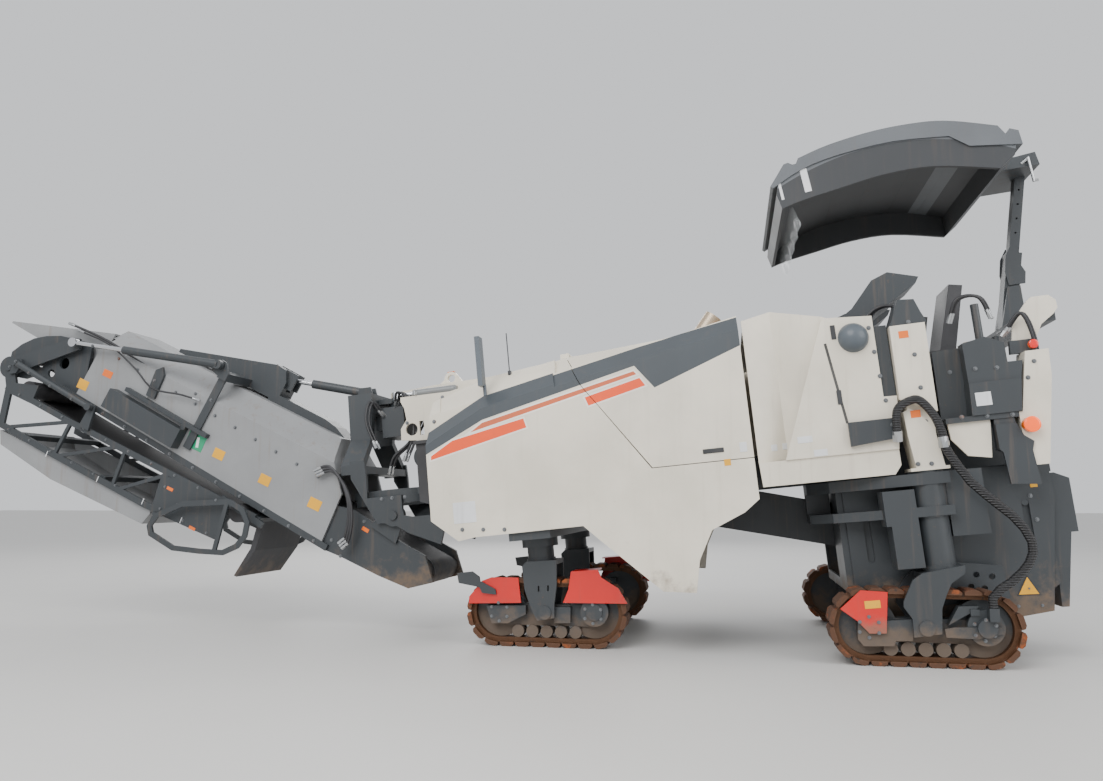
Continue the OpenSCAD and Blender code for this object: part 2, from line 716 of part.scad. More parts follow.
lift_x = 4260;
lift_z = 1463;
module slew_bracket() color(slate)
  on_chassis() {
    difference() {
      union() {
        translate([slew_x, 0, ring_z - 70 - fit])
          difference() {
            cylinder(r = 520, h = 70);
            translate([0, 0, -1]) cylinder(r = 360, h = 72);
            block([110, 600], [-330, 330], [-1, 71]);
          }
        both_slabs(510, 550) {
          polygon([[4350, 1400], [4230, 1470], [4080, 1435], [3884, 1435], [3880, 1370],
                   [3786, 1304], [3831, 1165], [4122, 1290], [4224, 1359]]);
          polygon([[4170, 1450], [4350, 1400], [4420, 1400], [4650, 1830], [4650, 1990],
                   [4510, 1990], [4500, 1850], [4500, ring_z - fit], [4170, ring_z - fit]]);
          translate([lift_x, lift_z]) circle(100);
        }
        block([4510, 4640], [-550, 550], [1870, 1940]);
        both_slabs(230, 300)
          polygon([[4530, 2190], [4740, 2190], [4740, 2650], [4500, 2650], [4500, 2500]]);
        pair()
          translate([4530, 0, 0])
            rotate([90, 0, 90])
              linear_extrude(210)
                polygon([[230, 2210], [300, 2210], [550, 1960], [550, 1870], [480, 1870],
                         [480, 1930], [230, 2180]]);
        block([4225, 4450], [-200, 200], [2215, 2505]);
        translate([slew_x, 0, 2500]) cylinder(r = 130, h = 60);
        block([4440, 4540], [-120, 120], [2300, 2440]);
        block([4500, 4740], [-300, 300], [2460, 2650]);
        both_slabs(45, 70)
          polygon([[4580, 2650], [4740, 2650], [4720, 2750], [4600, 2750]]);
        block([slew_x, 4560], [-130, 130], [2552, 2600]);
        translate([slew_x, 0, 2552]) cylinder(r = 130, h = 48);
        translate([slew_x, 0, 2500]) cylinder(d = 80, h = 172);
        block([slew_x - 45, slew_x + 45], [100, slew_eye_y], [2552, 2568]);
        translate([slew_x, slew_eye_y, 2552]) cylinder(d = 90, h = 16);
      }
      translate([lift_x, 0, lift_z]) rod_y(80.2, -600, 600);
    }
  }

// Slewing cylinder on the nose, beside the lifting eye
slew_eye_y = 170;
slew_rod_z = 2612;
module on_slew_cylinder()
  on_chassis()
    translate([shell_front + 40, slew_eye_y, slew_rod_z])
      rotate([0, 90, 0])
        children();

module slew_cylinder() color("silver") {
  on_chassis()
    block([shell_front + 20, shell_front + 110], [slew_eye_y - 30, slew_eye_y + 30], [2545, slew_rod_z + 25]);
  on_slew_cylinder()
    difference() {
      cylinder(d = 74, h = 420);
      translate([0, 0, 30]) cylinder(d = 40.2, h = 420);
    }
}

module slew_rod() color("silver") {
  on_slew_cylinder()
    translate([0, 0, 210]) cylinder(d = 40, h = slew_x - shell_front - 40 - 210 - 20);
  on_chassis()
    translate([slew_x, slew_eye_y, 2571]) cylinder(d = 70, h = 74);
}

// Discharge conveyor: u runs up the inner section from the lift pins, w points up
module on_inner()
  on_chassis()
    translate([lift_x, 0, lift_z])
      rotate([0, -conveyor_slope - pitch, 0])
        children();

hinge_w = -660;
module on_outer()
  on_inner()
    translate([inner_len, 0, hinge_w])
      rotate([0, fold_splay - 180, 0])
        children();

tail = [-420, -360];
head = [inner_len - 170, -420];
module inner_frame() color(slate)
  on_inner() {
    both_slabs(470, 500)
      polygon([[450, -610], [inner_len - 620, -610], [inner_len - 620, -550], [450, -550]]);
    both_slabs(440, 470)
      difference() {
        union() {
          translate([inner_len, hinge_w]) {
            polygon([[-870, 50], [-870, 130], [-700, 600], [-550, 590], [-310, 526], [-160, 450],
                     [-40, 366], [60, 250], [125, 130], [90, 0], [0, -90], [-170, -40], [-270, 50]]);
            circle(90);
          }
        }
        for (h = [[-247, -464, 58], [-503, -357, 58], [-419, -513, 40], [-411, -231, 24]])
          translate([inner_len + h[0], h[1]]) circle(h[2]);
      }
    pair() translate([inner_len, 0, hinge_w]) rod_y(80, 460, 560);
    for (i = [0 : 3])
      translate([800 + i * (inner_len - 1720) / 3, 0, -600]) block([-40, 40], [-500, 500], [0, 50]);
    block([2290, 3190], [conveyor_w / 2, conveyor_w / 2 + 120], [-500, -300]);
    block([2050, 3080], [conveyor_w / 2, conveyor_w / 2 + 60], [-265, -225]);
    block([2290, 2340], [conveyor_w / 2, conveyor_w / 2 + 60], [-301, -264]);
    both_slabs(500, 530)
      polygon([[2764, -192], [2863, -205], [2896, 60], [2840, 120], [2786, 52]]);
    difference() {
      slab(-120, 120)
        polygon([[1980, 640], [3050, 300], [3050, 262], [2500, 290], [1900, 310], [1900, 288],
                 [1237, 316.8], [960, 328.8], [1100, 380], [1237, 397], [1800, 380], [1800, 520],
                 [1866, 634]]);
      block([1700, 1990], [-42, 42], [430, 700]);
    }
    both_slabs(45, 70)
      polygon([[1740, 460], [2010, 460], [2010, 640], [1740, 640]]);
    block([2150, 2250], [-550 + fit, 550 - fit], [300, 380]);
    both_slabs(505, 525)
      polygon([[2160, -450], [2240, -450], [2240, 330], [2160, 330]]);
    both_slabs(520, 550 - fit)
      polygon([[2150, 300], [2330, 330], [2330, 420], [2290, 470], [2230, 470], [2150, 380]]);
  }

// Cheeks at the lower end of the inner section, with the pins it lifts on
module inner_cheeks() color(slate)
  on_inner() {
    both_slabs(430, 470)
      polygon([[560, -610], [560, -200], [370, -150], [-130, -190], [-420, -190], [-600, -360],
               [-420, -520], [-115, -560], [300, -590], [450, -610]]);
    both_slabs(465, 505) {
      polygon([[-130, -220], [170, -200], [90, 0], [-90, 0]]);
      circle(90);
    }
    pair() rod_y(80, 500, 570);
  }

cover_end = inner_len - 820;
module cover_profile(t)
  polygon([[521 + t, -549], [561 + t, -82], [814 + t, 179], [1000 + t, 420], [cover_end - t, 420],
           [cover_end - t, -549]]);

module cover_section(t)
  rotate([90, 0, 90])
    linear_extrude(6000)
      polygon([[-conveyor_w / 2 + t, -700], [-conveyor_w / 2 + t, 130 - t / 2],
               [-250 + t / 2, 330 - t], [250 - t / 2, 330 - t],
               [conveyor_w / 2 - t, 130 - t / 2], [conveyor_w / 2 - t, -700]]);

module inner_cover() color(cover_grey)
  on_inner() {
    difference() {
      intersection() {
        slab(-conveyor_w / 2, conveyor_w / 2) cover_profile(0);
        rotate([0, 2.5, 0]) translate([0, 0, 40]) cover_section(0);
      }
      intersection() {
        slab(-conveyor_w / 2, conveyor_w / 2) translate([0, -30]) cover_profile(18);
        rotate([0, 2.5, 0]) translate([0, 0, 40]) cover_section(18);
      }
      block([400, 1000], [-472, 472], [-560, 60]);
      block([cover_end - 30, cover_end + 10], [-472, 472], [-560, 100]);
    }
    both_slabs(380, 400)
      translate([cover_end, 0])
        polygon([[0, -280], [0, 150], [1180, -270], [1180, -290], [700, -290]]);
    slab(-380, 380)
      translate([cover_end, 0])
        polygon([[0, 130], [0, 150], [1180, -270], [1180, -290]]);
  }

module inner_belt() color("#232326")
  on_inner() {
    belt_loop(tail, head, 110, 12);
    translate([tail[0], 0, tail[1]]) rod_y(219.4, -430, 430);
    translate([head[0], 0, head[1]]) rod_y(219.4, -440, 440);
  }

// Each brace as [s and w at the chord next to the inner section, s and w at the other]
braces = [[916, 240, 258, 560], [932, 240, 904, 594], [1526, 262, 937, 600], [1633, 262, 1656, 617],
          [2180, 275, 1739, 618]];
module truss() {
  bar([60, 190], [916, 235], 60);
  bar([890, 234], [3200, 290], 60);
  bar([160, 560], [904, 600], 60);
  bar([880, 599], [2073, 640], 60);
  bar([2050, 640], [2890, 612], 60);
  bar([90, 175], [190, 580], 70);
  for (b = braces)
    bar([b[0], b[1]], [b[2], b[3]], 34);
  polygon([[2114, 300], [2464, 294], [2506, 600], [2148, 620]]);
}

// Tube guard round the head end, a closed outline
guard_outline = [[2265, 653], [2248, 779], [2306, 855], [2595, 882], [2863, 798], [3100, 710],
                 [3215, 590], [3250, 462], [3219, 327], [3109, 230], [2941, 212], [2500, 420]];
guard_hole = [[2320, 660], [2296, 760], [2335, 808], [2592, 834], [2850, 752], [3070, 670],
              [3170, 565], [3202, 462], [3175, 350], [3092, 278], [2955, 262], [2520, 470]];
module outer_frame() color(slate)
  on_outer() {
    both_slabs(515, 545)
      difference() {
        union() {
          truss();
          polygon([[2400, 250], [2900, 250], [2900, 640], [2500, 640]]);
          bar([2800, 260], [outer_len, 330], 60);
          polygon([[-60, -60], [60, 60], [690, -460], [640, -560], [560, -540]]);
          circle(110);
          bar([0, 0], [140, 200], 120);
          polygon([[140, 120], [420, 40], [420, 240], [140, 240]]);
        }
        circle(40.1);
      }
    for (c = [[500, 565], [1500, 600], [2450, 560]])
      translate([c[0], 0, c[1]]) block([-30, 30], [-515, 515], [-25, 25]);
    block([3180, 3240], [-515, 515], [280, 320]);
    both_slabs(620, 645) {
      difference() {
        polygon(guard_outline);
        polygon(guard_hole);
      }
      bar([2925, 240], [3003, 740], 40);
    }
    for (c = [[2272, 650], [2960, 258]])
      translate([c[0], 0, c[1]]) pair() block([-25, 25], [540, 640], [-16, 16]);
    both_slabs(545, 575) {
      polygon([[50, -40], [130, -130], [160, -90], [130, 20], [60, 60]]);
      polygon([[1060, 230], [1090, -20], [1150, -20], [1180, 230]]);
    }
    pair()
      translate([100, 600, -80])
        rotate([0, 90 - atan2(90, 1000), 0])
          cylinder(d = 62, h = 1010);
    pair() for (c = [[100, -80], [1106, 10]]) translate([c[0], 0, c[1]]) rod_y(70, 570, 632);
  }

module outer_cover() color(cover_grey)
  on_outer()
    difference() {
      slab(-515 + fit, 515 - fit)
        polygon([[180, 622], [254, 751], [959, 839], [2103, 827], [2143, 706], [2130, 652],
                 [1800, 652], [904, 622]]);
      slab(-500, 500)
        polygon([[160, 590], [270, 735], [961, 822], [2088, 811], [2120, 700], [2100, 560],
                 [904, 570]]);
    }

module outer_belt() color("#232326")
  on_outer() {
    belt_loop([300, 130], [3000, 330], 90, 12);
    translate([300, 0, 130]) rod_y(179.4, -515, 515);
    translate([3000, 0, 330]) rod_y(179.4, -515, 515);
    slab(-420, 420)
      polygon([[3180, 320 + fit], [3240, 320 + fit], [3270, 600], [3200, 900], [3170, 900], [3220, 600]]);
  }

// Fold cylinders on the inner section's sides
fold_eye = [2270, 420];
fold_pin = [inner_len - 590, -100];
fold_y = 590;
fold_tilt = atan2(fold_pin[1] - fold_eye[1], fold_pin[0] - fold_eye[0]);
module on_fold_cylinder()
  on_inner()
    for (side = [-1, 1])
      translate([fold_eye[0], side * fold_y, fold_eye[1]])
        rotate([0, 90 - fold_tilt, 0])
          children();

fold_reach = norm(fold_pin - fold_eye);
module fold_cylinders() color("gray")
  on_fold_cylinder()
    difference() {
      union() {
        cylinder(d = 80, h = 1060);
        rotate([90, 0, 0]) cylinder(d = 90, h = 60, center = true);
      }
      translate([0, 0, 60]) cylinder(d = 44.2, h = 1100);
    }

module fold_rods() color("silver")
  on_fold_cylinder() {
    translate([0, 0, 100]) cylinder(d = 44, h = fold_reach - 120);
    translate([0, 0, fold_reach])
      rotate([90, 0, 0]) cylinder(d = 90, h = 60, center = true);
  }

// Lift cylinder from the mast's head to the inner section's beam
lift_top = [4660, 2700];
lift_eye = [1850, 550]; // on the inner section
lift_eye_at = [lift_x + lift_eye[0] * cos(conveyor_slope + pitch) - lift_eye[1] * sin(conveyor_slope + pitch),
               lift_z + lift_eye[0] * sin(conveyor_slope + pitch) + lift_eye[1] * cos(conveyor_slope + pitch)];
lift_reach = norm(lift_eye_at - lift_top);
lift_tilt = atan2(lift_eye_at[1] - lift_top[1], lift_eye_at[0] - lift_top[0]);
module on_lift_cylinder()
  on_chassis()
    translate([lift_top[0], 0, lift_top[1]])
      rotate([0, 90 - lift_tilt, 0])
        children();

module lift_cylinder() color("gray")
  on_lift_cylinder()
    difference() {
      union() {
        cylinder(d = 90, h = 600);
        rotate([90, 0, 0]) cylinder(d = 88, h = 80, center = true);
      }
      translate([0, 0, 70]) cylinder(d = 50.2, h = 600);
    }

module lift_rod() color("silver")
  on_lift_cylinder() {
    translate([0, 0, 330]) cylinder(d = 50, h = lift_reach - 350);
    translate([0, 0, lift_reach])
      rotate([90, 0, 0]) cylinder(d = 90, h = 70, center = true);
  }

module mirrors() color("dimgray")
  on_chassis()
    pair() {
      difference() {
        translate([200, half_w - 20, 2440]) sphere(d = 230);
        block([0, 400], [half_w - 200, half_w + fit], [2200, 2700]);
      }
      difference() {
        translate([3150, 1120, 2350]) cylinder(d = 30, h = 106);
        slab(1000, 1200) under_line(shoulder, -fit);
      }
      block([3145, 3185], [1090, 1200], [2440, 2860]);
    }

module lamps() color("orange")
  on_chassis()
    pair() {
      translate([-955, 1130 + fit, 1652]) rotate([-90, 0, 0]) cylinder(d = 112, h = 70);
      translate([-1100, 1030 + fit, 2255]) rotate([-90, 0, 0]) cylinder(d = 64, h = 40);
    }

// Smooth line through the points, with n steps between each two
function curve(p, n) = [for (i = [0 : len(p) - 2], k = [0 : n - 1])
  let (t = k / n, a = p[max(i - 1, 0)], b = p[i], c = p[i + 1], d = p[min(i + 2, len(p) - 1)])
    ((-a + 3 * b - 3 * c + d) * t * t * t + (2 * a - 5 * b + 4 * c - d) * t * t + (c - a) * t + 2 * b) / 2];

roof_top = [[379, 4033], [124, 4106], [-241, 4160], [-591, 4166], [-834, 4132], [-1158, 4032]];
roof_low = [[-792, 4012], [-366, 4045], [64, 4006], [362, 3934], [605, 3813]];
tray_low = [[555, 3632], [396, 3675], [103, 3727], [-259, 3786], [-647, 3790], [-1131, 3688]];
module canopy_roof() color(dark)
  on_chassis()
    difference() {
      union() {
        slab(-canopy_w / 2, canopy_w / 2)
          polygon(concat([[605, 3813], [625, 3832], [572, 3902], [500, 4000], [463, 4009], [429, 3987],
                          [400, 3990]], curve(roof_top, 4),
                         [[-1158, 4032], [-1206, 3954], [-1239, 3994], [-1302, 3967], [-1316, 3851],
                          [-931, 3904]], curve(roof_low, 3)));
        slab(-canopy_w / 2 + 14, canopy_w / 2 - 14)
          polygon(concat([[583, 3750], [560, 3870], [380, 3960], [0, 4040], [-600, 4080], [-1100, 3980],
                          [-1270, 3860], [-1252, 3780], [-1131, 3688]],
                         [for (i = [19 : -1 : 0]) curve(tray_low, 4)[i]]));
      }
      slab(-canopy_w / 2 + 50, canopy_w / 2 - 50)
        polygon([[520, 3560], [530, 3760], [330, 3890], [0, 3985], [-300, 4020], [-620, 4015],
                 [-900, 3970], [-1130, 3880], [-1150, 3560]]);
    }

// Mast of the canopy: a square post that slides in a sleeve behind the platform
mast_foot = [-1280, 2620];
mast_lean = atan(160 / 700);
module on_mast()
  on_chassis()
    translate([mast_foot[0], 0, mast_foot[1]])
      rotate([0, -mast_lean, 0])
        children();

module canopy_mast() color(slate) {
  on_mast()
    difference() {
      translate([-40, -50, 520]) cube([80, 100, 830]);
      for (z = [780 : 130 : 1170]) translate([0, 0, z]) rod_y(18, -60, 60);
    }
  on_chassis()
    slab(-330, 330)
      polygon([[-1640, 3870], [-1314.6, 3865], [-1304.3, 3950], [-1620, 3985]]);
}

module canopy_sleeve() color(slate) {
  on_mast()
    difference() {
      translate([-60, -70, -110]) cube([120, 140, 710]);
      translate([-40.3, -50.3, 20]) cube([80.6, 100.6, 700]);
    }
  on_mast()
    both_slabs(70, 84)
      polygon([[-100, 330], [30, 300], [70, 420], [75, 560], [40, 660], [-10, 640], [-30, 520],
               [-95, 430]]);
  on_chassis() {
    block([-1320, -1200], [-960 + fit, 960 - fit], [2430, 2560]);
    both_slabs(60, 110)
      polygon([[-1320, 2430], [-1200, 2430], [-1200, 2560], [-1300, 2900], [-1400, 2900],
               [-1400, 2560]]);
  }
}

main_frame();
front_shell();
hood();
rear_shell();
engine_block();
nose_bracket();
platform();
operator_seats();
consoles();
side_cabinets();
column_covers();
rear_posts();
drum_housing();
primary_conveyor();
rubber_apron();
leg_columns();
exhaust();
mirrors();
lamps();
canopy_sleeve();
canopy_roof();
canopy_mast();
milling_drum();
side_plate_left();
side_plate_right();
scraper_gate();
track_frame(leg_base, front_track_y, front_leg_x, front_neck_z, true);  // track_frame_fl
track_frame(leg_base, -front_track_y, front_leg_x, front_neck_z, true);  // track_frame_fr
track_frame(0, rear_left_y, rear_leg_x, rear_neck_z, false);  // track_frame_rl
track_frame(0, -rear_right_y, rear_leg_x, rear_neck_z, false);  // track_frame_rr
track_loop(leg_base, front_track_y);  // track_loop_fl
track_loop(leg_base, -front_track_y);  // track_loop_fr
track_loop(0, rear_left_y);  // track_loop_rl
track_loop(0, -rear_right_y);  // track_loop_rr
track_guard(leg_base, front_track_y, 1, true);  // track_guard_fl
track_guard(leg_base, -front_track_y, -1, true);  // track_guard_fr
track_guard(0, rear_left_y, 1, false);  // track_guard_rl
track_guard(0, -rear_right_y, -1, false);  // track_guard_rr
slew_bracket();
inner_frame();
inner_cheeks();
inner_cover();
inner_belt();
outer_frame();
outer_cover();
outer_belt();
fold_cylinders();
fold_rods();
slew_cylinder();
slew_rod();
lift_cylinder();
lift_rod();
leg_hose(1);  // leg_hose_left
leg_hose(-1);  // leg_hose_right
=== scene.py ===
import bpy
import bmesh
import json
import math
from mathutils import Matrix, Vector
from mathutils.bvhtree import BVHTree


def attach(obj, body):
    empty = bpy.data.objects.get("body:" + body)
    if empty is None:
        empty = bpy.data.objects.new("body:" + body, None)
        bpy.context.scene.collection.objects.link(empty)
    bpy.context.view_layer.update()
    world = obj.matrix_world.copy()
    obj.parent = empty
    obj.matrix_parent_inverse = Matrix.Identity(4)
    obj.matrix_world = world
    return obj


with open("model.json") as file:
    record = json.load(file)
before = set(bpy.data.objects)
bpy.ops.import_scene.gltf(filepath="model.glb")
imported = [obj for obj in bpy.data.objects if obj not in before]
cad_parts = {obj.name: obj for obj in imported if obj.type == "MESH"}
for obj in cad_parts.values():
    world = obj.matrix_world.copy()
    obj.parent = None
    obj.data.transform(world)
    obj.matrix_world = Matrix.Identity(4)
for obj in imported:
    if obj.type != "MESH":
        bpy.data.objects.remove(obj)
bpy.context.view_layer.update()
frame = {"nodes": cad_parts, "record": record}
nodes = frame["nodes"]

# the chassis leans nose down: its points are given level, x from the rear tracks and z from the ground
stance = {"rearLegOut": 0.603, "frontLegOut": 0.33, "wheelbase": 2.85, "pivotHeight": 0.28, "midLength": 3.71}
hinges = {"lift": (4.26, 0, 1.463), "slope": -28, "fold": (4.42, 0, -0.66), "folded": -175}
tracks = {"centres": (-stance["midLength"], stance["wheelbase"] - stance["midLength"]),
          "height": 0.275, "half": 0.39}
lean = math.asin((stance["rearLegOut"] - stance["frontLegOut"]) / stance["wheelbase"])
ground = Matrix.Identity(4)
chassisSpot = (Matrix.Translation((-stance["midLength"], 0, stance["pivotHeight"]))
               @ Matrix.Rotation(lean, 4, "Y")
               @ Matrix.Translation((0, 0, -stance["pivotHeight"])))
innerSpot = (chassisSpot @ Matrix.Translation(hinges["lift"])
             @ Matrix.Rotation(math.radians(hinges["slope"]) - lean, 4, "Y"))
outerSpot = (innerSpot @ Matrix.Translation(hinges["fold"])
             @ Matrix.Rotation(math.radians(hinges["folded"]), 4, "Y"))


def placeCamera():
    view = {"at": (-2.356, 8.085, 1.188), "rise": 7.17, "turn": 11.5, "lens": 28.4, "sensor": 36, "far": 200}
    rise, turn = math.radians(view["rise"]), math.radians(view["turn"])
    level = Vector((math.sin(turn), -math.cos(turn), 0))
    side = Vector((-math.cos(turn), -math.sin(turn), 0))
    ahead = level * math.cos(rise) + Vector((0, 0, math.sin(rise)))
    up = Vector((0, 0, math.cos(rise))) - level * math.sin(rise)
    lens = bpy.data.cameras.new("camera")
    lens.lens, lens.sensor_width, lens.clip_end = view["lens"], view["sensor"], view["far"]
    camera = bpy.data.objects.new("camera", lens)
    bpy.context.scene.collection.objects.link(camera)
    camera.matrix_world = Matrix((side, up, -ahead)).transposed().to_4x4()
    camera.location = view["at"]
    bpy.context.scene.camera = camera


placeCamera()
print("camera placed")


# shader groups
def makeGroup(name, inputs, outputs):
    tree = bpy.data.node_groups.new(name, "ShaderNodeTree")
    for label, value in inputs:
        tree.interface.new_socket(label, in_out="INPUT", socket_type="NodeSocketFloat").default_value = value
    for label in outputs:
        tree.interface.new_socket(label, in_out="OUTPUT", socket_type="NodeSocketFloat")
    return tree, tree.nodes.new("NodeGroupInput"), tree.nodes.new("NodeGroupOutput")


def plug(tree, value, socket):
    if isinstance(value, (int, float)):
        socket.default_value = value
    elif isinstance(value, tuple):  # a colour
        socket.default_value = (*value, 1)
    else:
        tree.links.new(value, socket)


def maths(tree, kind, a, b=0.0, c=0.0):
    node = tree.nodes.new("ShaderNodeMath")
    node.operation = kind
    for socket, value in zip(node.inputs, (a, b, c)):
        plug(tree, value, socket)
    return node.outputs[0]


def ramp(tree, value, low, high, to=(0, 1)):
    node = tree.nodes.new("ShaderNodeMapRange")
    node.interpolation_type = "SMOOTHSTEP"
    given = {"Value": value, "From Min": low, "From Max": high, "To Min": to[0], "To Max": to[1]}
    for label, number in given.items():
        plug(tree, number, node.inputs[label])
    return node.outputs[0]


def noise(tree, where, scale, detail=3.0, rough=0.55, stretch=None):
    if stretch:
        mapping = tree.nodes.new("ShaderNodeMapping")
        mapping.inputs["Scale"].default_value = stretch
        plug(tree, where, mapping.inputs["Vector"])
        where = mapping.outputs[0]
    node = tree.nodes.new("ShaderNodeTexNoise")
    for label, value in (("Vector", where), ("Scale", scale), ("Detail", detail), ("Roughness", rough)):
        plug(tree, value, node.inputs[label])
    return node.outputs["Fac"]


def siteWear():
    # tone: slow colour change, dirt: splashes low down and streaks, chips: bare spots, grain: fine height
    noises = {"tone": (1.7, 4.0), "cloud": (6.0, 7.0, 0.68), "runs": (2.0, 5.0, 0.6, (9, 9, 0.55)),
              "spots": (38.0, 4.0, 0.7), "areas": (2.6, 3.0)}  # scale, detail, roughness, stretch
    edges = {"splash": (0.66, 0.98), "runs": (0.52, 0.78), "spots": (0.63, 0.67), "areas": (0.5, 0.66)}
    splashReach, grainDetail = 0.62, 2.0
    tree, given, out = makeGroup("siteWear",
        (("Splash height", 0.9), ("Streaks", 0.3), ("Chips", 0.3), ("Grain scale", 220.0)),
        ("Tone", "Dirt", "Chips", "Grain"))
    where = tree.nodes.new("ShaderNodeTexCoord").outputs["Object"]
    apart = tree.nodes.new("ShaderNodeSeparateXYZ")
    plug(tree, where, apart.inputs[0])
    low = ramp(tree, apart.outputs["Z"], given.outputs["Splash height"], 0.0)
    cloud = maths(tree, "MULTIPLY_ADD", low, splashReach, noise(tree, where, *noises["cloud"]))
    runs = ramp(tree, noise(tree, where, *noises["runs"]), *edges["runs"])
    streaks = maths(tree, "MULTIPLY", runs, given.outputs["Streaks"])
    spots = ramp(tree, noise(tree, where, *noises["spots"]), *edges["spots"])
    areas = ramp(tree, noise(tree, where, *noises["areas"]), *edges["areas"])
    made = {
        "Tone": noise(tree, where, *noises["tone"]),
        "Dirt": maths(tree, "MAXIMUM", ramp(tree, cloud, *edges["splash"]), streaks),
        "Chips": maths(tree, "MULTIPLY", maths(tree, "MULTIPLY", spots, areas), given.outputs["Chips"]),
        "Grain": noise(tree, where, given.outputs["Grain scale"], grainDetail),
    }
    for label, value in made.items():
        plug(tree, value, out.inputs[label])
    return tree


def rustBloom():
    look = {"edge": 0.86, "growth": 0.6, "soft": 0.12, "cloud": (8.0, 0.7), "pits": (90.0, 5.0, 0.7)}
    tree, given, out = makeGroup("rustBloom", (("Scale", 9.0), ("Amount", 0.5)), ("Rust", "Pits"))
    where = tree.nodes.new("ShaderNodeTexCoord").outputs["Object"]
    cloud = noise(tree, where, given.outputs["Scale"], *look["cloud"])
    grown = maths(tree, "MULTIPLY", given.outputs["Amount"], look["growth"])
    edge = maths(tree, "SUBTRACT", look["edge"], grown)
    rust = ramp(tree, cloud, maths(tree, "SUBTRACT", edge, look["soft"]), edge)
    plug(tree, rust, out.inputs["Rust"])
    plug(tree, noise(tree, where, *look["pits"]), out.inputs["Pits"])
    return tree


wearGroup, rustGroup = siteWear(), rustBloom()
print("shader groups made")


# materials
def useGroup(tree, group, **values):
    node = tree.nodes.new("ShaderNodeGroup")
    node.node_tree = group
    for label, value in values.items():
        node.inputs[label.replace("_", " ")].default_value = value
    return node.outputs


def mixColour(tree, amount, a, b):
    node = tree.nodes.new("ShaderNodeMix")
    node.data_type = "RGBA"
    for socket, value in ((0, amount), (6, a), (7, b)):  # the colour sockets of this node share their names
        plug(tree, value, node.inputs[socket])
    return node.outputs[2]


def newMaterial(name):
    material = bpy.data.materials.new(name)
    material.use_nodes = True
    tree = material.node_tree
    return material, tree, tree.nodes["Principled BSDF"]


def bumpFrom(tree, shader, height, strength, distance):
    node = tree.nodes.new("ShaderNodeBump")
    for label, value in (("Strength", strength), ("Distance", distance), ("Height", height)):
        plug(tree, value, node.inputs[label])
    plug(tree, node.outputs[0], shader.inputs["Normal"])


mud = (0.19, 0.13, 0.085)
toneEdge = (0.3, 0.7)


def paint(name, colour, rough, splash, streaks, chips, coat=0.25, dustAmount=0.75, pattern=None, glow=0.0,
          alpha=1.0):
    look = {"toneDepth": (0.0, 0.16), "toneColour": (0.02, 0.02, 0.02), "chipColour": (0.12, 0.07, 0.04),
            "dirtRough": 0.4, "toneRough": 0.12, "coatRough": 0.15, "grain": (0.12, 0.002)}
    material, tree, shader = newMaterial(name)
    wear = useGroup(tree, wearGroup, Splash_height=splash, Streaks=streaks, Chips=chips)
    base = pattern(tree, colour) if pattern else colour
    tone = ramp(tree, wear["Tone"], *toneEdge, look["toneDepth"])
    tinted = mixColour(tree, tone, base, look["toneColour"])
    dirty = mixColour(tree, maths(tree, "MULTIPLY", wear["Dirt"], dustAmount), tinted, mud)
    plug(tree, mixColour(tree, wear["Chips"], dirty, look["chipColour"]), shader.inputs["Base Color"])
    matt = maths(tree, "MULTIPLY_ADD", wear["Dirt"], look["dirtRough"], rough)
    plug(tree, maths(tree, "MULTIPLY_ADD", wear["Tone"], look["toneRough"], matt), shader.inputs["Roughness"])
    shader.inputs["Coat Weight"].default_value = coat
    shader.inputs["Coat Roughness"].default_value = look["coatRough"]
    shader.inputs["Alpha"].default_value = alpha
    if glow:
        shader.inputs["Emission Color"].default_value = (*colour, 1)
        shader.inputs["Emission Strength"].default_value = glow
    bumpFrom(tree, shader, wear["Grain"], *look["grain"])
    return material


def metal(name, colour, rough, rust, metallic, rustColour=(0.26, 0.09, 0.03), scale=9.0, splash=0.5):
    look = {"streaks": 0.1, "toneDepth": (0.0, 0.3), "darker": 0.5, "dust": 0.5, "rustRough": 0.45,
            "grain": (0.35, 0.004)}
    material, tree, shader = newMaterial(name)
    bloom = useGroup(tree, rustGroup, Scale=scale, Amount=rust)
    wear = useGroup(tree, wearGroup, Splash_height=splash, Streaks=look["streaks"], Chips=0.0)
    body = mixColour(tree, ramp(tree, wear["Tone"], *toneEdge, look["toneDepth"]), colour,
                     tuple(c * look["darker"] for c in colour))
    rusty = mixColour(tree, bloom["Rust"], body, rustColour)
    plug(tree, mixColour(tree, maths(tree, "MULTIPLY", wear["Dirt"], look["dust"]), rusty, mud),
         shader.inputs["Base Color"])
    bare = maths(tree, "SUBTRACT", 1.0, maths(tree, "MAXIMUM", bloom["Rust"], wear["Dirt"]))
    plug(tree, maths(tree, "MULTIPLY", bare, metallic), shader.inputs["Metallic"])
    plug(tree, maths(tree, "MULTIPLY_ADD", bloom["Rust"], look["rustRough"], rough),
         shader.inputs["Roughness"])
    bumpFrom(tree, shader, bloom["Pits"], *look["grain"])
    return material


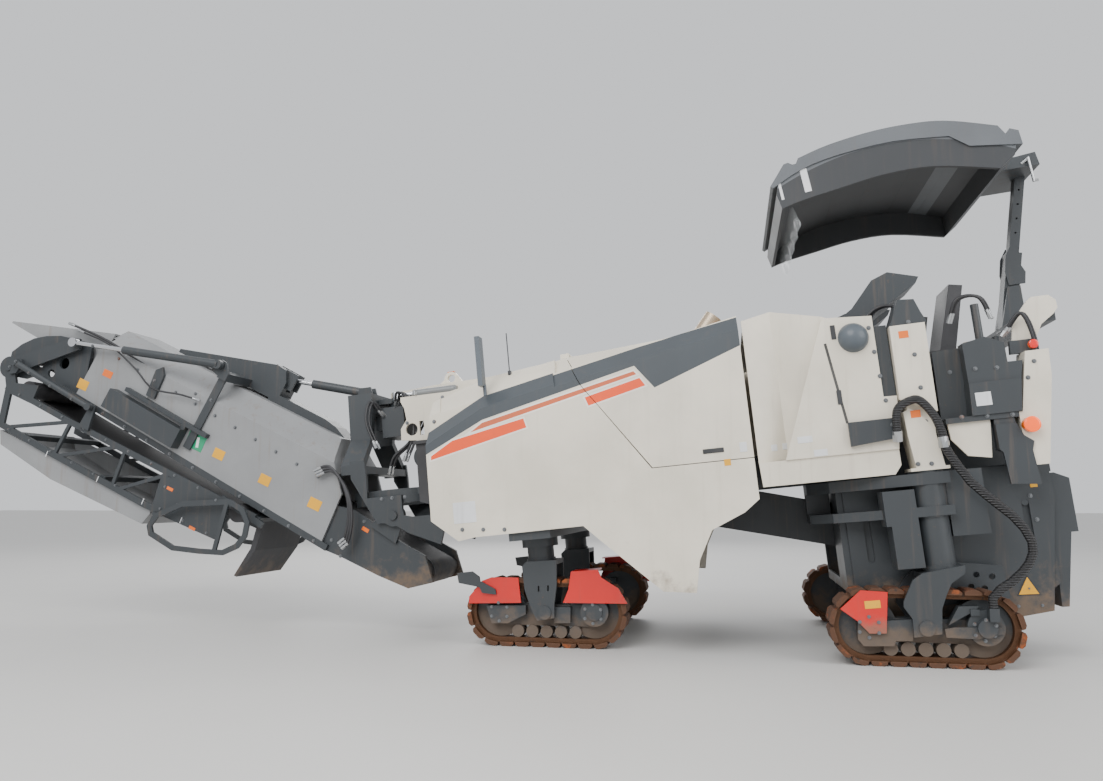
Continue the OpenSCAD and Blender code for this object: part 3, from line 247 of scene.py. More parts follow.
def trackFinish(name):
    # rusty clay on the pads around each track, dark chain and wheels inside them
    look = {"padEdge": (0.236, 0.25), "bloom": (16.0, 0.7), "patch": (7.0, 0.65), "padRust": (0.15, 1.0),
            "chain": ((0.03, 0.024, 0.02), (0.1, 0.045, 0.02)),
            "clay": ((0.3, 0.075, 0.018), (0.09, 0.04, 0.02)),
            "rough": (0.45, 0.85), "metallicTo": 0.4, "metallic": (0.5, 0.0), "grain": (0.5, 0.006)}
    material, tree, shader = newMaterial(name)
    apart = tree.nodes.new("ShaderNodeSeparateXYZ")
    plug(tree, tree.nodes.new("ShaderNodeTexCoord").outputs["Object"], apart.inputs[0])
    off = [maths(tree, "ABSOLUTE", maths(tree, "SUBTRACT", apart.outputs["X"], x))
           for x in tracks["centres"]]
    past = maths(tree, "MAXIMUM", maths(tree, "SUBTRACT", maths(tree, "MINIMUM", *off), tracks["half"]), 0.0)
    rise = maths(tree, "SUBTRACT", apart.outputs["Z"], tracks["height"])
    square = maths(tree, "ADD", maths(tree, "MULTIPLY", past, past), maths(tree, "MULTIPLY", rise, rise))
    bloom, patch = (useGroup(tree, rustGroup, Scale=scale, Amount=amount)
                    for scale, amount in (look["bloom"], look["patch"]))
    pad = maths(tree, "MULTIPLY", ramp(tree, maths(tree, "SQRT", square), *look["padEdge"]),
                ramp(tree, bloom["Rust"], 0.0, 1.0, look["padRust"]))
    chain = mixColour(tree, bloom["Rust"], *look["chain"])
    clay = mixColour(tree, patch["Rust"], *look["clay"])
    plug(tree, mixColour(tree, pad, chain, clay), shader.inputs["Base Color"])
    plug(tree, ramp(tree, pad, 0.0, 1.0, look["rough"]), shader.inputs["Roughness"])
    plug(tree, ramp(tree, pad, 0.0, look["metallicTo"], look["metallic"]), shader.inputs["Metallic"])
    bumpFrom(tree, shader, bloom["Pits"], *look["grain"])
    return material


def rubber(name, colour=(0.022, 0.022, 0.024), rough=0.62, dustAmount=0.45, grain=0.25):
    look = {"streaks": 0.35, "grainScale": 140.0, "paler": 1.9, "haze": 0.006, "toneRough": 0.2,
            "grainHigh": 0.004}
    material, tree, shader = newMaterial(name)
    wear = useGroup(tree, wearGroup, Splash_height=1.0, Streaks=look["streaks"], Chips=0.0,
                    Grain_scale=look["grainScale"])
    tinted = mixColour(tree, ramp(tree, wear["Tone"], *toneEdge), colour,
                       tuple(c * look["paler"] + look["haze"] for c in colour))
    plug(tree, mixColour(tree, maths(tree, "MULTIPLY", wear["Dirt"], dustAmount), tinted, mud),
         shader.inputs["Base Color"])
    plug(tree, maths(tree, "MULTIPLY_ADD", wear["Tone"], look["toneRough"], rough - look["toneRough"] / 2),
         shader.inputs["Roughness"])
    bumpFrom(tree, shader, wear["Grain"], grain, look["grainHigh"])
    return material


def ribbedRubber(name):
    hose = {"pitch": 0.018, "depth": 0.006, "ridge": (0.03, 0.03, 0.032), "grooveShade": (0.008, 0.008, 0.009),
            "dust": 0.3, "toneRough": 0.2, "rough": 0.38}
    material, tree, shader = newMaterial(name)
    wave = tree.nodes.new("ShaderNodeTexWave")
    wave.bands_direction = "Z"
    wave.inputs["Scale"].default_value = math.tau / (20 * hose["pitch"])  # 20 is the texture's own factor
    plug(tree, tree.nodes.new("ShaderNodeTexCoord").outputs["Object"], wave.inputs["Vector"])
    wear = useGroup(tree, wearGroup, Splash_height=0.5, Streaks=0.2, Chips=0.0)
    # the grooves between the ribs are painted darker than the ridges: painted shade in the grooves
    ribsWithGrooveShade = mixColour(tree, wave.outputs["Fac"], hose["grooveShade"], hose["ridge"])
    plug(tree, mixColour(tree, maths(tree, "MULTIPLY", wear["Dirt"], hose["dust"]), ribsWithGrooveShade, mud),
         shader.inputs["Base Color"])
    plug(tree, maths(tree, "MULTIPLY_ADD", wear["Tone"], hose["toneRough"], hose["rough"]),
         shader.inputs["Roughness"])
    bumpFrom(tree, shader, wave.outputs["Fac"], 1.0, hose["depth"])
    return material


# side livery, drawn over the side view of the level chassis
livery = {
    "bandFront": ((3.609, 1.939), (3.16, 2.149)),
    "bandMiddle": ((3.16, 2.149), (1.877, 2.436)),
    "bandKick": ((1.735, 2.243), (1.877, 2.436)),
    "bandRear": ((1.043, 2.492), (1.735, 2.243)),
    "thinStripe": ((3.27, 2.057), (3.162, 2.125), (1.887, 2.394), (1.866, 2.367)),
    "frontStripe": ((3.621, 1.866), (3.619, 1.897), (3.428, 2.006), (2.815, 2.122), (2.796, 2.046)),
    "rearStripe": ((2.297, 2.232), (1.845, 2.335), (1.805, 2.27), (2.273, 2.162)),
    "border": 0.013, "sideOnly": 1.243, "bandOnly": 1.132,
    "bandColour": (0.052, 0.062, 0.071), "borderColour": (0.9, 0.86, 0.78),
    "thinColour": (0.62, 0.13, 0.045), "broadColour": (0.95, 0.085, 0.008),
}


def overLine(tree, x, z, a, b):
    slope = (b[1] - a[1]) / (b[0] - a[0])
    return maths(tree, "SUBTRACT", maths(tree, "MULTIPLY_ADD", x, -slope, z), a[1] - slope * a[0])


def insideOf(tree, x, z, corners):
    area = sum(a[0] * b[1] - b[0] * a[1] for a, b in zip(corners, corners[1:] + corners[:1]))
    turn, reach = (1 if area > 0 else -1), None
    for a, b in zip(corners, corners[1:] + corners[:1]):
        run, rise = b[0] - a[0], b[1] - a[1]
        size = math.hypot(run, rise) * turn
        part = maths(tree, "MULTIPLY_ADD", z, run / size, (rise * a[0] - run * a[1]) / size)
        part = maths(tree, "MULTIPLY_ADD", x, -rise / size, part)
        reach = part if reach is None else maths(tree, "MINIMUM", reach, part)
    return reach


def levelPlace(tree):
    # a point's x, distance from the middle and z on the level chassis
    level = tree.nodes.new("ShaderNodeMapping")
    level.inputs["Rotation"].default_value = (0, -lean, 0)
    level.inputs["Location"].default_value = chassisSpot.inverted().translation
    plug(tree, tree.nodes.new("ShaderNodeTexCoord").outputs["Object"], level.inputs["Vector"])
    apart = tree.nodes.new("ShaderNodeSeparateXYZ")
    plug(tree, level.outputs[0], apart.inputs[0])
    return apart.outputs["X"], maths(tree, "ABSOLUTE", apart.outputs["Y"]), apart.outputs["Z"]


def sideLivery(tree, colour):
    x, out, z = levelPlace(tree)
    front, middle, kick, rear = (overLine(tree, x, z, *livery[line])
                                 for line in ("bandFront", "bandMiddle", "bandKick", "bandRear"))
    band = maths(tree, "MAXIMUM", maths(tree, "MAXIMUM", front, middle), maths(tree, "MINIMUM", kick, rear))
    thin, frontStripe, rearStripe = (insideOf(tree, x, z, livery[stripe])
                                     for stripe in ("thinStripe", "frontStripe", "rearStripe"))
    broad = maths(tree, "MAXIMUM", frontStripe, rearStripe)
    border = maths(tree, "MAXIMUM", thin, broad)
    for form, limit, outFrom, tone in ((band, 0.0, "bandOnly", "bandColour"),
                                       (border, -livery["border"], "sideOnly", "borderColour"),
                                       (thin, 0.0, "sideOnly", "thinColour"),
                                       (broad, 0.0, "sideOnly", "broadColour")):
        mask = maths(tree, "MULTIPLY", maths(tree, "GREATER_THAN", form, limit),
                     maths(tree, "GREATER_THAN", out, livery[outFrom]))
        colour = mixColour(tree, mask, colour, livery[tone])
    return colour


def canopyCapAndPaintedShade(tree, shadedTray):
    # the cap keeps its own lighter colour; the tray under it gets the darker base colour, which is painted
    # shade: the cap's lower edge is a shallow arch
    arch = {"middle": -0.366, "top": 4.037, "drop": 0.262, "side": 0.938, "capColour": (0.12, 0.13, 0.142)}
    x, out, z = levelPlace(tree)
    off = maths(tree, "SUBTRACT", x, arch["middle"])
    edge = maths(tree, "MULTIPLY_ADD", maths(tree, "MULTIPLY", off, off), -arch["drop"], arch["top"])
    cap = maths(tree, "MAXIMUM", maths(tree, "GREATER_THAN", out, arch["side"]),
                maths(tree, "GREATER_THAN", z, edge))
    return mixColour(tree, cap, shadedTray, arch["capColour"])


cream = (0.78, 0.72, 0.6)
slate = (0.036, 0.042, 0.047)
paints = {
    "creamLivery": dict(colour=cream, rough=0.34, splash=0.95, streaks=0.12, chips=0.1, pattern=sideLivery),
    "creamPaint": dict(colour=cream, rough=0.36, splash=0.95, streaks=0.2, chips=0.15),
    "slatePaint": dict(colour=slate, rough=0.42, splash=1.0, streaks=0.35, chips=0.45, coat=0.1),
    "darkPaint": dict(colour=(0.03, 0.034, 0.038), rough=0.5, splash=1.0, streaks=0.3, chips=0.3, coat=0.05),
    "greyCover": dict(colour=(0.27, 0.275, 0.28), rough=0.45, splash=0.9, streaks=0.5, chips=0.25,
                      coat=0.05),
    "redPaint": dict(colour=(0.66, 0.01, 0.006), rough=0.32, splash=0.55, streaks=0.25, chips=0.5, coat=0.3),
    "lampOrange": dict(colour=(0.95, 0.2, 0.02), rough=0.2, splash=0.1, streaks=0.0, chips=0.0, coat=0.6),
    "legPaint": dict(colour=slate, rough=0.42, splash=0.5, streaks=0.3, chips=0.5, coat=0.1,
                     dustAmount=0.55),
    "cylinderGrey": dict(colour=(0.2, 0.21, 0.215), rough=0.4, splash=0.5, streaks=0.2, chips=0.3),
    # the canopy's dark base colour is painted shade on the tray under the cap; only the cap has its own colour
    "canopyShell": dict(colour=(0.035, 0.038, 0.042), rough=0.5, splash=0.1, streaks=0.15, chips=0.05,
                        coat=0.0, pattern=canopyCapAndPaintedShade),
    "mirrorGrey": dict(colour=(0.09, 0.11, 0.13), rough=0.45, splash=0.1, streaks=0.1, chips=0.1),
    "signWhite": dict(colour=(0.78, 0.79, 0.8), rough=0.4, splash=0.3, streaks=0.25, chips=0.05, coat=0.3),
    "signYellow": dict(colour=(0.86, 0.42, 0.006), rough=0.4, splash=0.3, streaks=0.25, chips=0.1, coat=0.3),
    "signOrange": dict(colour=(0.92, 0.17, 0.006), rough=0.35, splash=0.3, streaks=0.2, chips=0.05,
                       coat=0.4),
    "signGreen": dict(colour=(0.01, 0.3, 0.14), rough=0.4, splash=0.3, streaks=0.25, chips=0.1, coat=0.3),
    "glowOrange": dict(colour=(1.0, 0.11, 0.003), rough=0.15, splash=0.1, streaks=0.05, chips=0.0, coat=0.6,
                       glow=0.8),
    "lensRed": dict(colour=(0.75, 0.015, 0.01), rough=0.15, splash=0.1, streaks=0.05, chips=0.0, coat=0.6,
                    glow=0.2),
    "clearVinyl": dict(colour=(0.75, 0.8, 0.85), rough=0.12, splash=0.1, streaks=0.2, chips=0.0, coat=0.0,
                       alpha=0.16),
}
metals = {
    "drumSteel": dict(colour=(0.16, 0.14, 0.13), rough=0.45, rust=0.7, metallic=0.8,
                      rustColour=(0.17, 0.075, 0.035)),
    "chrome": dict(colour=(0.72, 0.73, 0.75), rough=0.12, rust=0.05, metallic=1.0, splash=0.1),
    "exhaustSteel": dict(colour=(0.5, 0.4, 0.29), rough=0.4, rust=0.45, metallic=0.7,
                         rustColour=(0.38, 0.22, 0.12), scale=6.0),
    "engineIron": dict(colour=(0.09, 0.09, 0.095), rough=0.5, rust=0.3, metallic=0.5),
    "boltSteel": dict(colour=(0.2, 0.21, 0.22), rough=0.4, rust=0.3, metallic=0.8, splash=0.3),
    "bareSteel": dict(colour=(0.5, 0.51, 0.52), rough=0.3, rust=0.1, metallic=0.9, splash=0.2),
}
rubbers = {
    "blackRubber": dict(),
    "seatVinyl": dict(colour=(0.02, 0.02, 0.022), rough=0.5, dustAmount=0.1, grain=0.4),
    "hoseRubber": dict(colour=(0.018, 0.018, 0.02), rough=0.5, dustAmount=0.2, grain=0.3),
    "seamDark": dict(colour=(0.035, 0.034, 0.032), rough=0.7, dustAmount=0.2),
    "trimBlack": dict(colour=(0.02, 0.021, 0.023), rough=0.45, dustAmount=0.2, grain=0.15),
}
finishes = {"trackSteel": trackFinish("trackSteel"), "ribbedRubber": ribbedRubber("ribbedRubber")}
for make, looks in ((paint, paints), (metal, metals), (rubber, rubbers)):
    for name, look in looks.items():
        finishes[name] = make(name, **look)

finishOf = {
    "creamLivery": "hood front_shell",
    "creamPaint": "rear_shell nose_bracket column_covers rear_posts",
    "slatePaint": "main_frame platform consoles side_cabinets drum_housing leg_columns canopy_sleeve "
                  "canopy_mast side_plate_left side_plate_right scraper_gate slew_bracket inner_frame "
                  "inner_cheeks outer_frame fold_cylinders lift_cylinder",
    "legPaint": "track_frame_fl track_frame_fr track_frame_rl track_frame_rr",
    "darkPaint": "primary_conveyor", "greyCover": "inner_cover outer_cover",
    "redPaint": "track_guard_fl track_guard_fr track_guard_rl track_guard_rr",
    "lampOrange": "lamps", "blackRubber": "rubber_apron inner_belt outer_belt",
    "ribbedRubber": "leg_hose_left leg_hose_right",
    "seatVinyl": "operator_seats", "drumSteel": "milling_drum",
    "trackSteel": "track_loop_fl track_loop_fr track_loop_rl track_loop_rr",
    "chrome": "fold_rods slew_rod lift_rod", "cylinderGrey": "slew_cylinder", "canopyShell": "canopy_roof",
    "exhaustSteel": "exhaust", "mirrorGrey": "mirrors", "engineIron": "engine_block",
}
for finish, names in finishOf.items():
    for name in names.split():
        slots = nodes[name].data.materials
        for i in range(len(slots)):
            slots[i] = finishes[finish]
print("finishes on the CAD nodes")


# small pieces: a ray from outside finds the CAD surface that each one sits on
def makeFinder():
    points, faces, owners = [], [], []
    for name, thing in nodes.items():
        start = len(points)
        points += [thing.matrix_world @ corner.co for corner in thing.data.vertices]
        faces += [[start + i for i in face.vertices] for face in thing.data.polygons]
        owners += [name] * len(thing.data.polygons)
    return BVHTree.FromPolygons(points, faces), owners


finder, owners = makeFinder()
bodyOf = {node: body for body, members in frame["record"]["behaviour"]["bodies"].items() for node in members}
works = {}
rayStarts = {"side": 2.2, "top": 4}  # outside the machine
straightOn = {"plate": 0.9, "bolt": 0.8}  # how nearly a surface has to face the ray


def landing(spot, at, towards):
    ahead = (spot.to_3x3() @ Vector(towards)).normalized()
    hit, normal, index, _ = finder.ray_cast(spot @ Vector(at), ahead)
    if hit is None:
        return []
    return [(hit, -normal if normal.dot(ahead) > 0 else normal, bodyOf[owners[index]])]


def sideHits(spot, x, z, least=0.0, square=0.0):
    found = []
    for side in (1, -1):
        found += landing(spot, (x, side * rayStarts["side"], z), (0, -side, 0))
    return [one for one in found if abs(one[0].y) >= least and abs(one[1].y) > square]


def topHits(x, y):
    return landing(chassisSpot, (x, y, rayStarts["top"]), (0, 0, -1))


def workOf(kind, body):
    key = kind + "_" + body
    if key not in works:
        works[key] = (bmesh.new(), kind, body)
    return works[key][0]


def placed(form, made, matrix):
    bmesh.ops.transform(form, matrix=matrix, verts=made)


def addBox(form, matrix, size, bevel=0.2):
    made = bmesh.ops.create_cube(form, size=1.0)["verts"]
    placed(form, made, matrix @ Matrix.Diagonal((*size, 1)))
    edges = list({edge for corner in made for edge in corner.link_edges})
    bmesh.ops.bevel(form, geom=edges, offset=min(size) * bevel, segments=1, affect="EDGES")


def addCone(form, matrix, bottom, top, height, sides=12):
    made = bmesh.ops.create_cone(form, cap_ends=True, segments=sides, radius1=bottom, radius2=top,
                                 depth=height)["verts"]
    placed(form, made, matrix @ Matrix.Translation((0, 0, height / 2)))


def addRod(form, a, b, radius, sides=12):
    a, b = Vector(a), Vector(b)
    turn = (b - a).to_track_quat("Z", "Y").to_matrix().to_4x4()
    addCone(form, Matrix.Translation(a) @ turn, radius, radius, (b - a).length, sides)


def facing(hit, normal, along):
    along = (along - normal * along.dot(normal)).normalized()
    return Matrix.Translation(hit) @ Matrix((along, normal.cross(along), normal)).transposed().to_4x4()


def layPlate(kind, spot, x, z, size, turn=0.0, least=0.0, proud=0.003):
    for hit, normal, body in sideHits(spot, x, z, least, straightOn["plate"]):
        along = spot.to_3x3() @ (Matrix.Rotation(math.radians(turn), 3, "Y") @ Vector((1, 0, 0)))
        addBox(workOf(kind, body), facing(hit, normal, along), (*size, proud * 2))


def layBolt(spot, x, z, size, least):
    bolt = {"washer": 1.5, "washerHigh": 0.3, "top": 0.94, "high": 0.9}  # shares of the bolt's size
    washer, top, high = size * bolt["washer"], size * bolt["top"], size * bolt["washerHigh"]
    for hit, normal, body in sideHits(spot, x, z, least, straightOn["bolt"]):
        form = workOf("bolts", body)
        base = facing(hit, normal, spot.to_3x3() @ Vector((1, 0, 0)))
        addCone(form, base, washer, washer, high, sides=16)
        addCone(form, base @ Matrix.Translation((0, 0, high)), size, top, size * bolt["high"], sides=6)


def boltRow(spot, a, b, count, size, least):
    for i in range(count):
        share = i / (count - 1)
        layBolt(spot, a[0] + (b[0] - a[0]) * share, a[1] + (b[1] - a[1]) * share, size, least)


def layStrip(kind, spot, a, b, width, least, step=0.15, overlap=1.02, proud=0.0015):
    # short lengths in a row follow the surface
    count = max(1, round(math.dist(a, b) / step))
    size = (math.dist(a, b) / count * overlap, width, proud * 2)
    along = spot.to_3x3() @ Vector((b[0] - a[0], 0, b[1] - a[1]))
    for i in range(count):
        x, z = (a[k] + (b[k] - a[k]) * (i + 0.5) / count for k in (0, 1))
        for hit, normal, body in sideHits(spot, x, z, least):
            addBox(workOf(kind, body), facing(hit, normal, along), size)


def smoothPath(points, share=6):
    # a curve through every point
    points = [Vector(p) for p in points]
    ends = [points[0] * 2 - points[1]] + points + [points[-1] * 2 - points[-2]]
    path = []
    for a, b, c, d in zip(ends, ends[1:], ends[2:], ends[3:]):
        for i in range(share):
            t = i / share
            path.append(0.5 * ((2 * b) + (c - a) * t + (2 * a - 5 * b + 4 * c - d) * t * t
                               + (3 * b - a - 3 * c + d) * t ** 3))
    return path + [points[-1]]


def skin(form, rings):
    # faces between rings of points, and one over the last ring
    for a, b in zip(rings, rings[1:]):
        for k in range(len(a)):
            after = (k + 1) % len(a)
            form.faces.new((a[k], a[after], b[after], b[k]))
    form.faces.new(rings[-1])


def addTube(form, path, radius, sides=10):
    rings, across = [], Vector((0, 1, 0))
    for i, point in enumerate(path):
        ahead = (path[min(i + 1, len(path) - 1)] - path[max(i - 1, 0)]).normalized()
        side = ahead.cross(across)
        side = side.normalized() if side.length > 0.01 else ahead.orthogonal().normalized()
        across = side.cross(ahead).normalized()
        rings.append([form.verts.new(point + radius * (math.cos(t) * side + math.sin(t) * across))
                      for t in (math.tau * k / sides for k in range(sides))])
    skin(form, rings)
    form.faces.new(list(reversed(rings[0])))


hoseEnds = {"nut": (-0.004, 0.045, 1.25, 6), "sleeve": (0.03, 0.075, 1.12, 12)}  # start, end, width, sides


def layHose(body, spot, points, radius, count=1, spread=(0, 0.03, 0), kind="hoses"):
    for i in range(count):
        shift = Vector(spread) * (i - (count - 1) / 2)
        path = [spot @ (p + shift) for p in smoothPath(points)]
        addTube(workOf(kind, body), path, radius)
        for end, near in ((path[0], path[1]), (path[-1], path[-2])):
            ahead = (near - end).normalized()
            form = workOf("fittings", body)
            for start, stop, wide, sides in hoseEnds.values():
                addRod(form, end + ahead * start, end + ahead * stop, radius * wide, sides)


# blank signs, dark trim and the door strip on the body: x, z, width, height
bodyTrim = {
    "whiteSigns": ((3.37, 1.415, 0.19, 0.17), (1.112, 1.704, 0.055, 0.075), (0.878, 1.679, 0.05, 0.05),
                   (0.79, 1.683, 0.05, 0.05), (0.652, 1.71, 0.11, 0.05), (0.55, 1.6, 0.1, 0.05),
                   (-0.667, 1.877, 0.11, 0.1), (-0.696, 1.02, 0.09, 0.12)),
    "yellowSigns": ((1.244, 1.6, 0.05, 0.05), (-0.98, 1.25, 0.05, 0.11), (0.345, 0.471, 0.11, 0.055)),
    "orangeSigns": ((-0.152, 2.41, 0.07, 0.055), (-0.15, 1.81, 0.07, 0.055)),
    "blackTrim": ((1.34, 1.7, 0.16, 0.035), (0.34, 2.5, 0.035, 0.11), (0.36, 2.0, 0.035, 0.11)),
}
bodyProud = {"whiteSigns": 0.0025, "yellowSigns": 0.0025, "orangeSigns": 0.0025, "blackTrim": 0.008}
doorStrip = {"a": (0.41, 2.42), "b": (0.33, 1.8), "width": 0.02, "least": 1.1}
plateBolts = ((-0.827, 0.458), (-0.737, 0.335), (-0.899, 0.329))
for kind, signs in bodyTrim.items():
    for x, z, *size in signs:
        layPlate(kind, chassisSpot, x, z, size, least=0.7, proud=bodyProud[kind])
layStrip("seams", chassisSpot, **doorStrip)
for x, z in plateBolts:
    layBolt(chassisSpot, x, z, size=0.008, least=0.7)

# the warning triangle on each side plate is left blank: yellow inside a dark border
triangle = {"corners": ((-0.827, 0.56), (-0.735, 0.41), (-0.905, 0.404)), "sunk": -0.001,
            "layers": (("blackTrim", 1.0, 0.002), ("yellowSigns", 0.82, 0.004))}  # share and height


def layTriangle():
    middle = [sum(corner[k] for corner in triangle["corners"]) / 3 for k in (0, 1)]
    for hit, normal, body in sideHits(chassisSpot, *middle):
        for kind, share, proud in triangle["layers"]:
            form = workOf(kind, body)
            around = [chassisSpot @ Vector((middle[0] + (x - middle[0]) * share, 0,
                                            middle[1] + (z - middle[1]) * share))
                      for x, z in triangle["corners"]]
            rings = [[form.verts.new(Vector((p.x, hit.y, p.z)) + normal * rise) for p in around]
                     for rise in (triangle["sunk"], proud)]
            form.faces.new(rings[0])
            skin(form, rings)


layTriangle()

# rows of bolts: two ends and how many
boltRows = (
    {"spot": chassisSpot, "least": 0.3, "size": 0.011, "rows": (
        ((-0.944, 1.133), (-0.962, 0.954), 2), ((3.4, 1.28), (3.05, 1.25), 3),
        ((-0.02, 1.45), (-0.3, 1.43), 4), ((-0.5, 2.12), (-0.8, 2.1), 3),
        ((-0.5, 1.76), (-0.85, 1.74), 3), ((-1.06, 2.116), (-1.0, 2.0), 2),
        ((0.08, 2.5), (0.02, 1.75), 5), ((-0.2, 2.5), (-0.22, 1.75), 4), ((3.74, 2.5), (3.62, 2.2), 3),
        ((4.1, 2.3), (4.35, 2.1), 3), ((4.16, 1.62), (4.36, 1.62), 3))},
    {"spot": innerSpot, "least": 0.4, "size": 0.011, "rows": (
        ((0.3, -0.585), (4.1, -0.585), 14), ((0.25, -0.2), (0.45, -0.5), 3), ((2.0, 0.1), (2.4, 0.05), 3),
        ((4.3, -0.55), (4.5, -0.75), 3), ((0.85, -0.05), (3.6, -0.03), 12))},
    {"spot": outerSpot, "least": 0.4, "size": 0.009, "rows": (
        ((0.25, 0.21), (3.1, 0.285), 11), ((0.3, 0.572), (2.8, 0.62), 10), ((2.2, 0.4), (2.4, 0.5), 2))},
)
for group in boltRows:
    for a, b, count in group["rows"]:
        boltRow(group["spot"], a, b, count, group["size"], group["least"])

hubBolts = {"ring": 0.075, "count": 6, "size": 0.009, "least": 0.5}
for centre in tracks["centres"]:
    for k in range(hubBolts["count"]):
        turn = math.tau * (k + 0.5) / hubBolts["count"]
        for wheel in (-tracks["half"], tracks["half"]):
            layBolt(ground, centre + wheel + hubBolts["ring"] * math.cos(turn),
                    tracks["height"] + hubBolts["ring"] * math.sin(turn), hubBolts["size"], hubBolts["least"])

# conveyor: blank signs, reflectors and ties
conveyorTrim = {
    "signs": (("yellowSigns", 3.58, -0.439, 0.12, 0.1), ("yellowSigns", 1.872, -0.343, 0.12, 0.095),
              ("yellowSigns", 1.318, -0.331, 0.12, 0.095), ("yellowSigns", 0.753, -0.287, 0.13, 0.1),
              ("orangeSigns", 3.383, -0.219, 0.11, 0.07), ("greenSigns", 2.158, -0.342, 0.2, 0.17)),
    "signTurn": 4, "least": 0.4,
    "bar": {"x": 2.13, "z": -0.35, "size": (0.03, 0.1), "turn": 20, "proud": 0.0035},
    "reflectors": ((0.335, 0.356), (2.259, 0.397), (2.642, 0.64), (1.482, 0.56)), "reflector": (0.07, 0.03),
    "lowReflector": {"x": 0.202, "z": -0.258, "size": (0.07, 0.035)},
    "ties": (0.83, 1.48, 2.04, 2.5), "tieHeight": 0.62, "tie": (0.008, 0.06), "tieProud": 0.004,
}
for kind, x, z, *size in conveyorTrim["signs"]:
    layPlate(kind, innerSpot, x, z, size, conveyorTrim["signTurn"], conveyorTrim["least"])
layPlate("whiteSigns", innerSpot, least=conveyorTrim["least"], **conveyorTrim["bar"])
for x, z in conveyorTrim["reflectors"]:
    layPlate("orangeSigns", outerSpot, x, z, conveyorTrim["reflector"], least=conveyorTrim["least"])
layPlate("orangeSigns", innerSpot, least=conveyorTrim["least"], **conveyorTrim["lowReflector"])
for x in conveyorTrim["ties"]:
    layPlate("whiteSigns", outerSpot, x, conveyorTrim["tieHeight"], conveyorTrim["tie"],
             least=conveyorTrim["least"], proud=conveyorTrim["tieProud"])

# hoses on the conveyor, at the slewing bracket and beside the platform, and the loop over the left leg's cover
hoses = (
    {"body": "conveyor_inner", "spot": innerSpot, "radius": 0.013, "count": 3, "spread": (0.026, 0, 0.012),
     "points": ((0.86, 0.56, -0.02), (0.78, 0.56, 0.07), (0.694, 0.57, 0.08), (0.55, 0.58, 0.02),
                (0.414, 0.59, -0.097), (0.318, 0.6, -0.249), (0.276, 0.6, -0.4), (0.3, 0.6, -0.47))},
    {"body": "conveyor_inner", "spot": innerSpot, "radius": 0.009,
     "points": ((3.9, 0.53, 0.02), (3.5, 0.54, 0.05), (3.1, 0.56, -0.02), (2.8, 0.58, -0.1),
                (2.5, 0.56, -0.02), (2.3, 0.54, 0.02))},
    {"body": "conveyor_inner", "spot": innerSpot, "radius": 0.011, "count": 2,
     "points": ((4.05, 0.5, 0.03), (3.6, 0.47, 0.06), (3.0, 0.46, 0.04), (2.4, 0.45, 0.05),
                (1.9, 0.46, 0.04))},
    {"body": "slew", "spot": chassisSpot, "radius": 0.012, "count": 2, "spread": (0.02, 0.026, 0.004),
     "points": ((3.93, 0.3, 2.5), (3.98, 0.36, 2.3), (4.1, 0.4, 2.12), (4.25, 0.42, 2.0),
                (4.32, 0.4, 1.85))},
    {"body": "slew", "spot": chassisSpot, "radius": 0.012, "count": 2, "spread": (0.02, 0.026, 0.004),
     "points": ((4.3, 0.18, 2.5), (4.22, 0.3, 2.62), (4.08, 0.36, 2.5), (4.05, 0.4, 2.2),
                (4.15, 0.44, 1.95))},
    {"body": "slew", "spot": chassisSpot, "radius": 0.012, "count": 2, "spread": (0.02, 0.026, 0.004),
     "points": ((4.42, 0.2, 2.42), (4.5, 0.3, 2.56), (4.52, 0.38, 2.36), (4.42, 0.42, 2.1))},
    {"body": "chassis", "spot": chassisSpot, "radius": 0.012, "count": 2, "spread": (0.022, 0.02, 0.0),
     "points": ((0.02, 1.0, 2.45), (0.03, 1.08, 2.62), (-0.1, 1.1, 2.68), (-0.25, 1.06, 2.6),
                (-0.3, 0.98, 2.42))},
    {"body": "chassis", "spot": chassisSpot, "radius": 0.012, "count": 2, "spread": (0.022, 0.02, 0.0),
     "points": ((-0.55, 1.02, 2.5), (-0.62, 1.08, 2.66), (-0.78, 1.06, 2.66), (-0.86, 1.0, 2.5))},
    {"body": "chassis", "spot": chassisSpot, "radius": 0.012, "count": 2, "spread": (0.022, 0.02, 0.0),
     "points": ((-0.92, 1.0, 2.35), (-1.05, 1.06, 2.5), (-1.12, 1.04, 2.3), (-1.12, 1.0, 2.05))},
    {"body": "chassis", "spot": chassisSpot, "radius": 0.031, "kind": "ribbedHose",
     "points": ((0.0, 1.3, 1.63), (0.0, 1.33, 1.72), (-0.02, 1.335, 1.85), (-0.106, 1.34, 1.905),
                (-0.184, 1.342, 1.9), (-0.264, 1.344, 1.78), (-0.298, 1.345, 1.65), (-0.3, 1.345, 1.545))},
)
for hose in hoses:
    layHose(**hose)

# canopy: white strips, the clear curtain at its front edge and the handle on the mast
canopyStrips = {"at": ((0.34, 3.84, 0.055, 0.2), (0.547, 3.8, 0.022, 0.19)), "turn": 6, "least": 0.85}
for x, z, *size in canopyStrips["at"]:
    layPlate("whiteSigns", chassisSpot, x, z, size, canopyStrips["turn"], canopyStrips["least"])
curtain = {"x": 0.47, "top": 3.73, "bottom": 3.5, "half": 0.9, "thick": 0.002, "swing": 0.05, "ripple": 0.008,
           "waves": 1.3, "rows": 6, "columns": 24}


